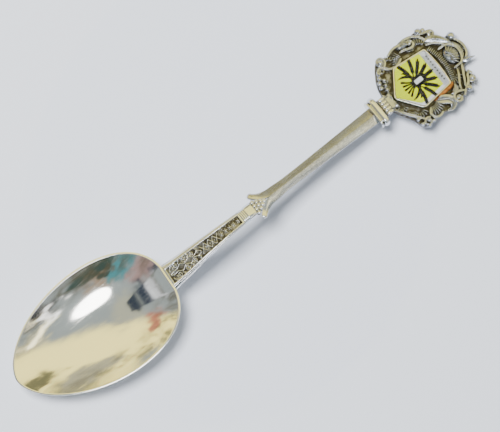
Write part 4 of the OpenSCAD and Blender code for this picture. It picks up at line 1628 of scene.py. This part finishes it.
class SPOON_OT_bowl(bpy.types.Operator):
    """Makes the polished bowl with its bright lip"""

    bl_idname = "spoon.bowl"
    bl_label = "Bowl"

    def execute(self, context):
        hand_over(bowl_mesh(sizes()), "polished_bowl", polished_silver(finishes().polished),
                  "polished_silver", "bowl")
        return {"FINISHED"}


class SPOON_OT_neck(bpy.types.Operator):
    """Makes the neck with its framed panel of ornament"""

    bl_idname = "spoon.neck"
    bl_label = "Relief Neck"

    def execute(self, context):
        hand_over(neck_mesh(sizes()), "relief_neck", silver("relief"), "relief_silver", "neck")
        return {"FINISHED"}


class SPOON_OT_cup(bpy.types.Operator):
    """Makes the turned cup and the cluster of beads in the stem's fork"""

    bl_idname = "spoon.cup"
    bl_label = "Cup and Beads"

    def execute(self, context):
        s = sizes()
        bright = silver("bright")
        start, end = handle.span("cup")
        wide, high = s.neck_width / MM + 0.3, s.neck_height / MM + 0.4
        lines_end, line_count = 1.2, 3
        profile = [(x, 0.17 - 0.13 * abs(math.sin(math.pi * x / lines_end * line_count)) ** 0.7)
                   for x in np.linspace(0.0, lines_end, 34)]
        profile += rounded_profile(lines_end + 0.04, end - start, 0.22)
        cup = band_mesh("turned_cup", profile, wide, high, start)
        hand_over(cup, "turned_cup", bright, "polished_silver", "cup")
        start, end = handle.span("bead_cluster")
        core_long, core_wide, core_high = 2.6, 2.0, 1.3
        core = turned(rounded_profile(0.0, core_long, 0.4), core_wide, core_high)
        bead, under = s.bead_radius / MM, -0.5
        rows = [mesh_from("core", *core)]
        for x, count, level in ((0.45, 4, 0.62), (1.25, 3, 0.8), (2.0, 2, 0.85), (2.65, 1, 0.8)):
            for z in (level, under):
                rows.append(shifted(bead_row(bright, count, 0.8, bead), x, 0.0, z))
        cluster = join("bead_bunch", rows)
        # Darker towards the bottom: painted shade, full dark on the cluster's lower side.
        settle(cluster, start, (0.75 - read_points(cluster)[:, 2]) / 0.9)
        hand_over(cluster, "bead_bunch", bright, "polished_silver", "bead_cluster")
        return {"FINISHED"}


class SPOON_OT_stem(bpy.types.Operator):
    """Makes the ridged stem, whose two facets curl outwards at its lower end"""

    bl_idname = "spoon.stem"
    bl_label = "Stem"

    def execute(self, context):
        s, f = sizes(), finishes()
        station = handle.span("bead_cluster")[1]
        long = handle.span("stem")[1] - station
        widths = (s.stem_low / MM, s.stem_waist / MM, s.stem_top / MM)
        stem = join("ridged_stem", [mesh_from("half", *stem_half(side, *widths, long, STEM_HIGH))
                                    for side in (1, -1)])
        _, y, z = read_points(stem).T
        values = np.clip(find_hollows(stem, 3, 0.06), 0, 1) * 0.5
        # Painted shade: the stem's underside is darkened, and its left facet is painted darker than
        # the right for how the light falls on it. A dark line also runs along the ridge's top.
        under, left_facet_painted_shade = 0.3 * (z < 0.0), 0.32 * soft_step(y, -0.05, 0.25)
        ridge = 0.5 * np.exp(-((y / 0.07) ** 2)) * (z > 0.5)
        settle(stem, station, np.maximum(values, under) + left_facet_painted_shade + ridge)
        satin = worn_silver("satin_worn_and_shaded", f.silver, f.champagne, 1.0, 0.16, 0.4, 1500.0, 0.35)
        hand_over(stem, "ridged_stem", satin, "stem_silver", "stem")
        return {"FINISHED"}


class SPOON_OT_collar(bpy.types.Operator):
    """Makes the flanged collar and the ribbed capital"""

    bl_idname = "spoon.collar"
    bl_label = "Collar and Capital"

    def execute(self, context):
        bright = silver("bright")
        start, end = handle.span("collar")
        low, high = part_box("collar")
        wide, tall, long = (high.y - low.y) / MM, 3.4, end - start
        groove = [(long * 0.23, 0.55), (long * 0.3, 0.57)]
        profile = rounded_profile(0.0, long * 0.2, 0.2, 0.2) + groove
        profile += rounded_profile(long * 0.32, long * 0.9, 0.5)
        hand_over(band_mesh("flanged_collar", profile, wide, tall, start), "flanged_collar",
                  bright, "polished_silver", "collar")
        start, end = handle.span("capital")
        long = end - start
        core_wide, core_high = 4.0, 2.3
        parts = [mesh_from("core", *turned(rounded_profile(0.0, long, 0.15), core_wide,
                                           core_high))]
        reach = long / 2 - 0.02
        for level in (core_high / 2, -core_high / 2):
            row = bead_row(bright, 5, 0.78, 0.42)
            points = read_points(row) * (2.0, 1.0, 1.0)
            points[:, 0] = np.clip(points[:, 0], -reach, reach)
            write_points(row, points)
            parts.append(shifted(row, long / 2, 0.0, level))
        capital = join("ribbed_capital", parts)
        settle(capital, start, (1.35 - np.abs(read_points(capital)[:, 2])) / 0.3)
        hand_over(capital, "ribbed_capital", silver("relief"), "relief_silver", "capital")
        return {"FINISHED"}


# A skin with fewer faces than this has not closed round the scrolls.
FEWEST_FACES = 5000


class SPOON_OT_cartouche(bpy.types.Operator):
    """Makes the cast cartouche out of scrolls, shells, leaves and beads"""

    bl_idname = "spoon.cartouche"
    bl_label = "Cartouche"

    def execute(self, context):
        finish = silver("cast")
        melt, crisp = cartouche_parts(finish)
        skin = melted(join("casting", melt), sizes().voxel / MM)
        if len(skin.polygons) < FEWEST_FACES:
            raise RuntimeError("the cartouche's skin didn't close")
        fine = np.clip(find_hollows(skin, 6, 0.03), -0.6, 1)
        cast = join("cast_cartouche", [skin, *crisp])
        points = read_points(cast)
        values = 0.95 * recess_shares(points) + 0.1
        values[:len(fine)] += 0.45 * fine
        settle(cast, crest_station(), np.where(points[:, 2] < -0.6, 0.3, values))
        hand_over(cast, "cast_cartouche", finish, "cast_silver", "cartouche")
        return {"FINISHED"}


def shield_piece(mesh, name, finish, slot, *nodes):
    """Hands over a piece drawn in the cartouche's millimetres."""
    write_points(mesh, handle.place(read_points(mesh), crest_station()))
    return hand_over(mesh, name, finish, slot, *nodes)


class SPOON_OT_shield(bpy.types.Operator):
    """Makes the shield: its tray, its enamel, its clear dome and the glue under it"""

    bl_idname = "spoon.shield"
    bl_label = "Shield"

    def execute(self, context):
        f, s = finishes(), sizes()
        tray = tray_mesh()
        paint_patina_and_shade(tray, np.zeros(len(tray.vertices)))
        hand_over(tray, "shield_base", silver("bright"), "tray_metal", "shield_tray")
        white = enamel("white_enamel", f.white, 1.05)
        ground = slab("shield_ground", shield_edge(0.33), 0.6, 0.92)
        hand_over(ground, "shield_ground", white, "white_enamel")
        print_edge = cut_outline(shield_edge(0.42), CHIEF_AT - 0.02, -1)
        print_edge[:, 1] *= np.where(print_edge[:, 1] < 0, 0.86, 1.0)
        yellow = slab("yellow_field", print_edge, 0.9, 0.95, 0.02)
        hand_over(yellow, "yellow_field", enamel("yellow_enamel", f.yellow, 1.04),
                  "yellow_enamel", "enamel_field")
        chief = slab("white_chief", cut_outline(shield_edge(0.36), CHIEF_AT, 1), 0.9, 0.96, 0.02)
        hand_over(chief, "white_chief", white, "white_enamel", "enamel_chief")
        black = enamel("black_enamel", f.black, 1.4)
        dots = bead_row(black, s.chief_dots, 0.74, 0.15)
        write_points(dots, read_points(dots) * (1.3, 1.0, 0.25) + (12.3, 0.0, 0.965))
        shield_piece(dots, "chief_dots", black, "black_enamel")
        self.sheaf(black)
        self.band(white)
        hand_over(dome_mesh(), "clear_dome", clear_resin(), "clear_resin", "resin_dome")
        self.glue(f)
        return {"FINISHED"}

    def sheaf(self, black):
        """Fanned ears above the band, hanging leaves beside it and fanned stalks below it."""
        parts = []
        root = (-1.3, 0.0)
        parts += wheat_ear(black, 0, 4.5, 0.0, root)
        for side in (1, -1):
            for turn, reach, bow in ((17, 4.5, 0.3), (34, 4.7, 0.6), (51, 4.9, 1.1),
                                     (72, 4.3, 1.7)):
                parts += wheat_ear(black, side * turn, reach, side * bow, root)
            for reach, drop in ((3.2, -1.2), (2.7, -2.6)):
                parts.append(blade_mesh([(-0.9, 0.5 * side, 0.26), (-0.9, 0.55 * reach * side, 0.3),
                                         (-0.9 + 0.5 * drop, 0.9 * reach * side, 0.25),
                                         (-0.9 + drop, 0.98 * reach * side, 0.03)]))
        for k in (-2, -1, 0, 1, 2):
            parts.append(blade_mesh([(-0.7, 0.18 * k, 0.18), (-2.0, 0.42 * k, 0.16),
                                     (-3.6 + 0.15 * abs(k), 0.9 * k, 0.24)]))
        parts.append(blade_mesh([(-1.6, 0.0, 0.5), (-0.9, 0.0, 1.0), (0.0, 0.0, 1.15),
                                 (0.9, 0.0, 1.05), (1.8, 0.0, 0.5)]))
        sheaf = join("wheat_sheaf", parts)
        write_points(sheaf, read_points(sheaf) * (1.0, 1.0, 0.5) + (TIE_AT, 0.0, 0.962))
        shield_piece(sheaf, "wheat_sheaf", black, "black_enamel", "enamel_sheaf")

    def band(self, white):
        """The white tie round the sheaf."""
        long, half, corner = 0.95, 0.48, 0.12
        outline = np.array([(-long + corner, -half), (long - corner, -half),
                            (long, -half + corner), (long, half - corner),
                            (long - corner, half), (-long + corner, half),
                            (-long, half - corner), (-long, -half + corner)]) + (TIE_AT, 0.0)
        tie = slab("sheaf_tie", outline, 0.93, 1.02, 0.03)
        hand_over(tie, "sheaf_tie", white, "white_enamel", "enamel_band")

    def glue(self, f):
        """The adhesive under the tray and the bead of it that has run out on one side."""
        amber = amber_glue(f.glue)
        rings = slab_rings(((0.3, -0.2), (0.15, -0.2), (0.1, -0.05), (0.15, 0.05), (0.4, 0.05)))
        parts = [mesh_from("bed", *loft(rings))]
        knots = [(8.0, -5.25, 0.2, 0.15), (9.2, -5.15, 0.3, 0.34), (10.6, -5.05, 0.35, 0.42),
                 (11.8, -4.95, 0.4, 0.5), (12.8, -4.8, 0.35, 0.42), (13.5, -4.4, 0.2, 0.2)]
        line = curve_through(knots, 8)
        parts.append(swept(amber, line))
        shield_piece(join("amber_spill", parts), "amber_spill", amber, "amber_glue", "glue_bed")


class SPOON_OT_peg(bpy.types.Operator):
    """Gives the hidden brass peg its finish"""

    bl_idname = "spoon.peg"
    bl_label = "Brass Peg"

    def execute(self, context):
        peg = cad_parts["tang"]
        brass = tang_brass()
        if not peg.material_slots:
            raise RuntimeError("the peg has no material slot")
        for slot in peg.material_slots:
            slot.material = brass
        return {"FINISHED"}


STEPS = (SPOON_OT_stage, SPOON_OT_bowl, SPOON_OT_neck, SPOON_OT_cup, SPOON_OT_stem,
         SPOON_OT_collar, SPOON_OT_cartouche, SPOON_OT_shield, SPOON_OT_peg)


class SPOON_PT_panel(bpy.types.Panel):
    """Lists the spoon's sizes, finishes and steps"""

    bl_idname = "SPOON_PT_panel"
    bl_label = "Souvenir Spoon"
    bl_space_type = "VIEW_3D"
    bl_region_type = "UI"
    bl_category = "Spoon"

    def draw(self, context):
        scene = context.scene
        for group in (getattr(scene, name) for name in SETTINGS):
            box = self.layout.box()
            for label in group.__annotations__:
                box.prop(group, label)
        for step in STEPS:
            self.layout.operator(step.bl_idname)


CLASSES = (SpoonSizes, SpoonFinishes, SpoonStage, *STEPS, SPOON_PT_panel)


SETTINGS = {"spoon_sizes": SpoonSizes, "spoon_finishes": SpoonFinishes, "spoon_stage": SpoonStage}


def register():
    for entry in CLASSES:
        bpy.utils.register_class(entry)
    for name, group in SETTINGS.items():
        setattr(bpy.types.Scene, name, PointerProperty(type=group))


def unregister():
    for name in SETTINGS:
        delattr(bpy.types.Scene, name)
    for entry in reversed(CLASSES):
        bpy.utils.unregister_class(entry)


def main():
    register()
    for step in STEPS:
        getattr(bpy.ops.spoon, step.bl_idname.split(".")[1])()


if __name__ == "__main__":
    main()
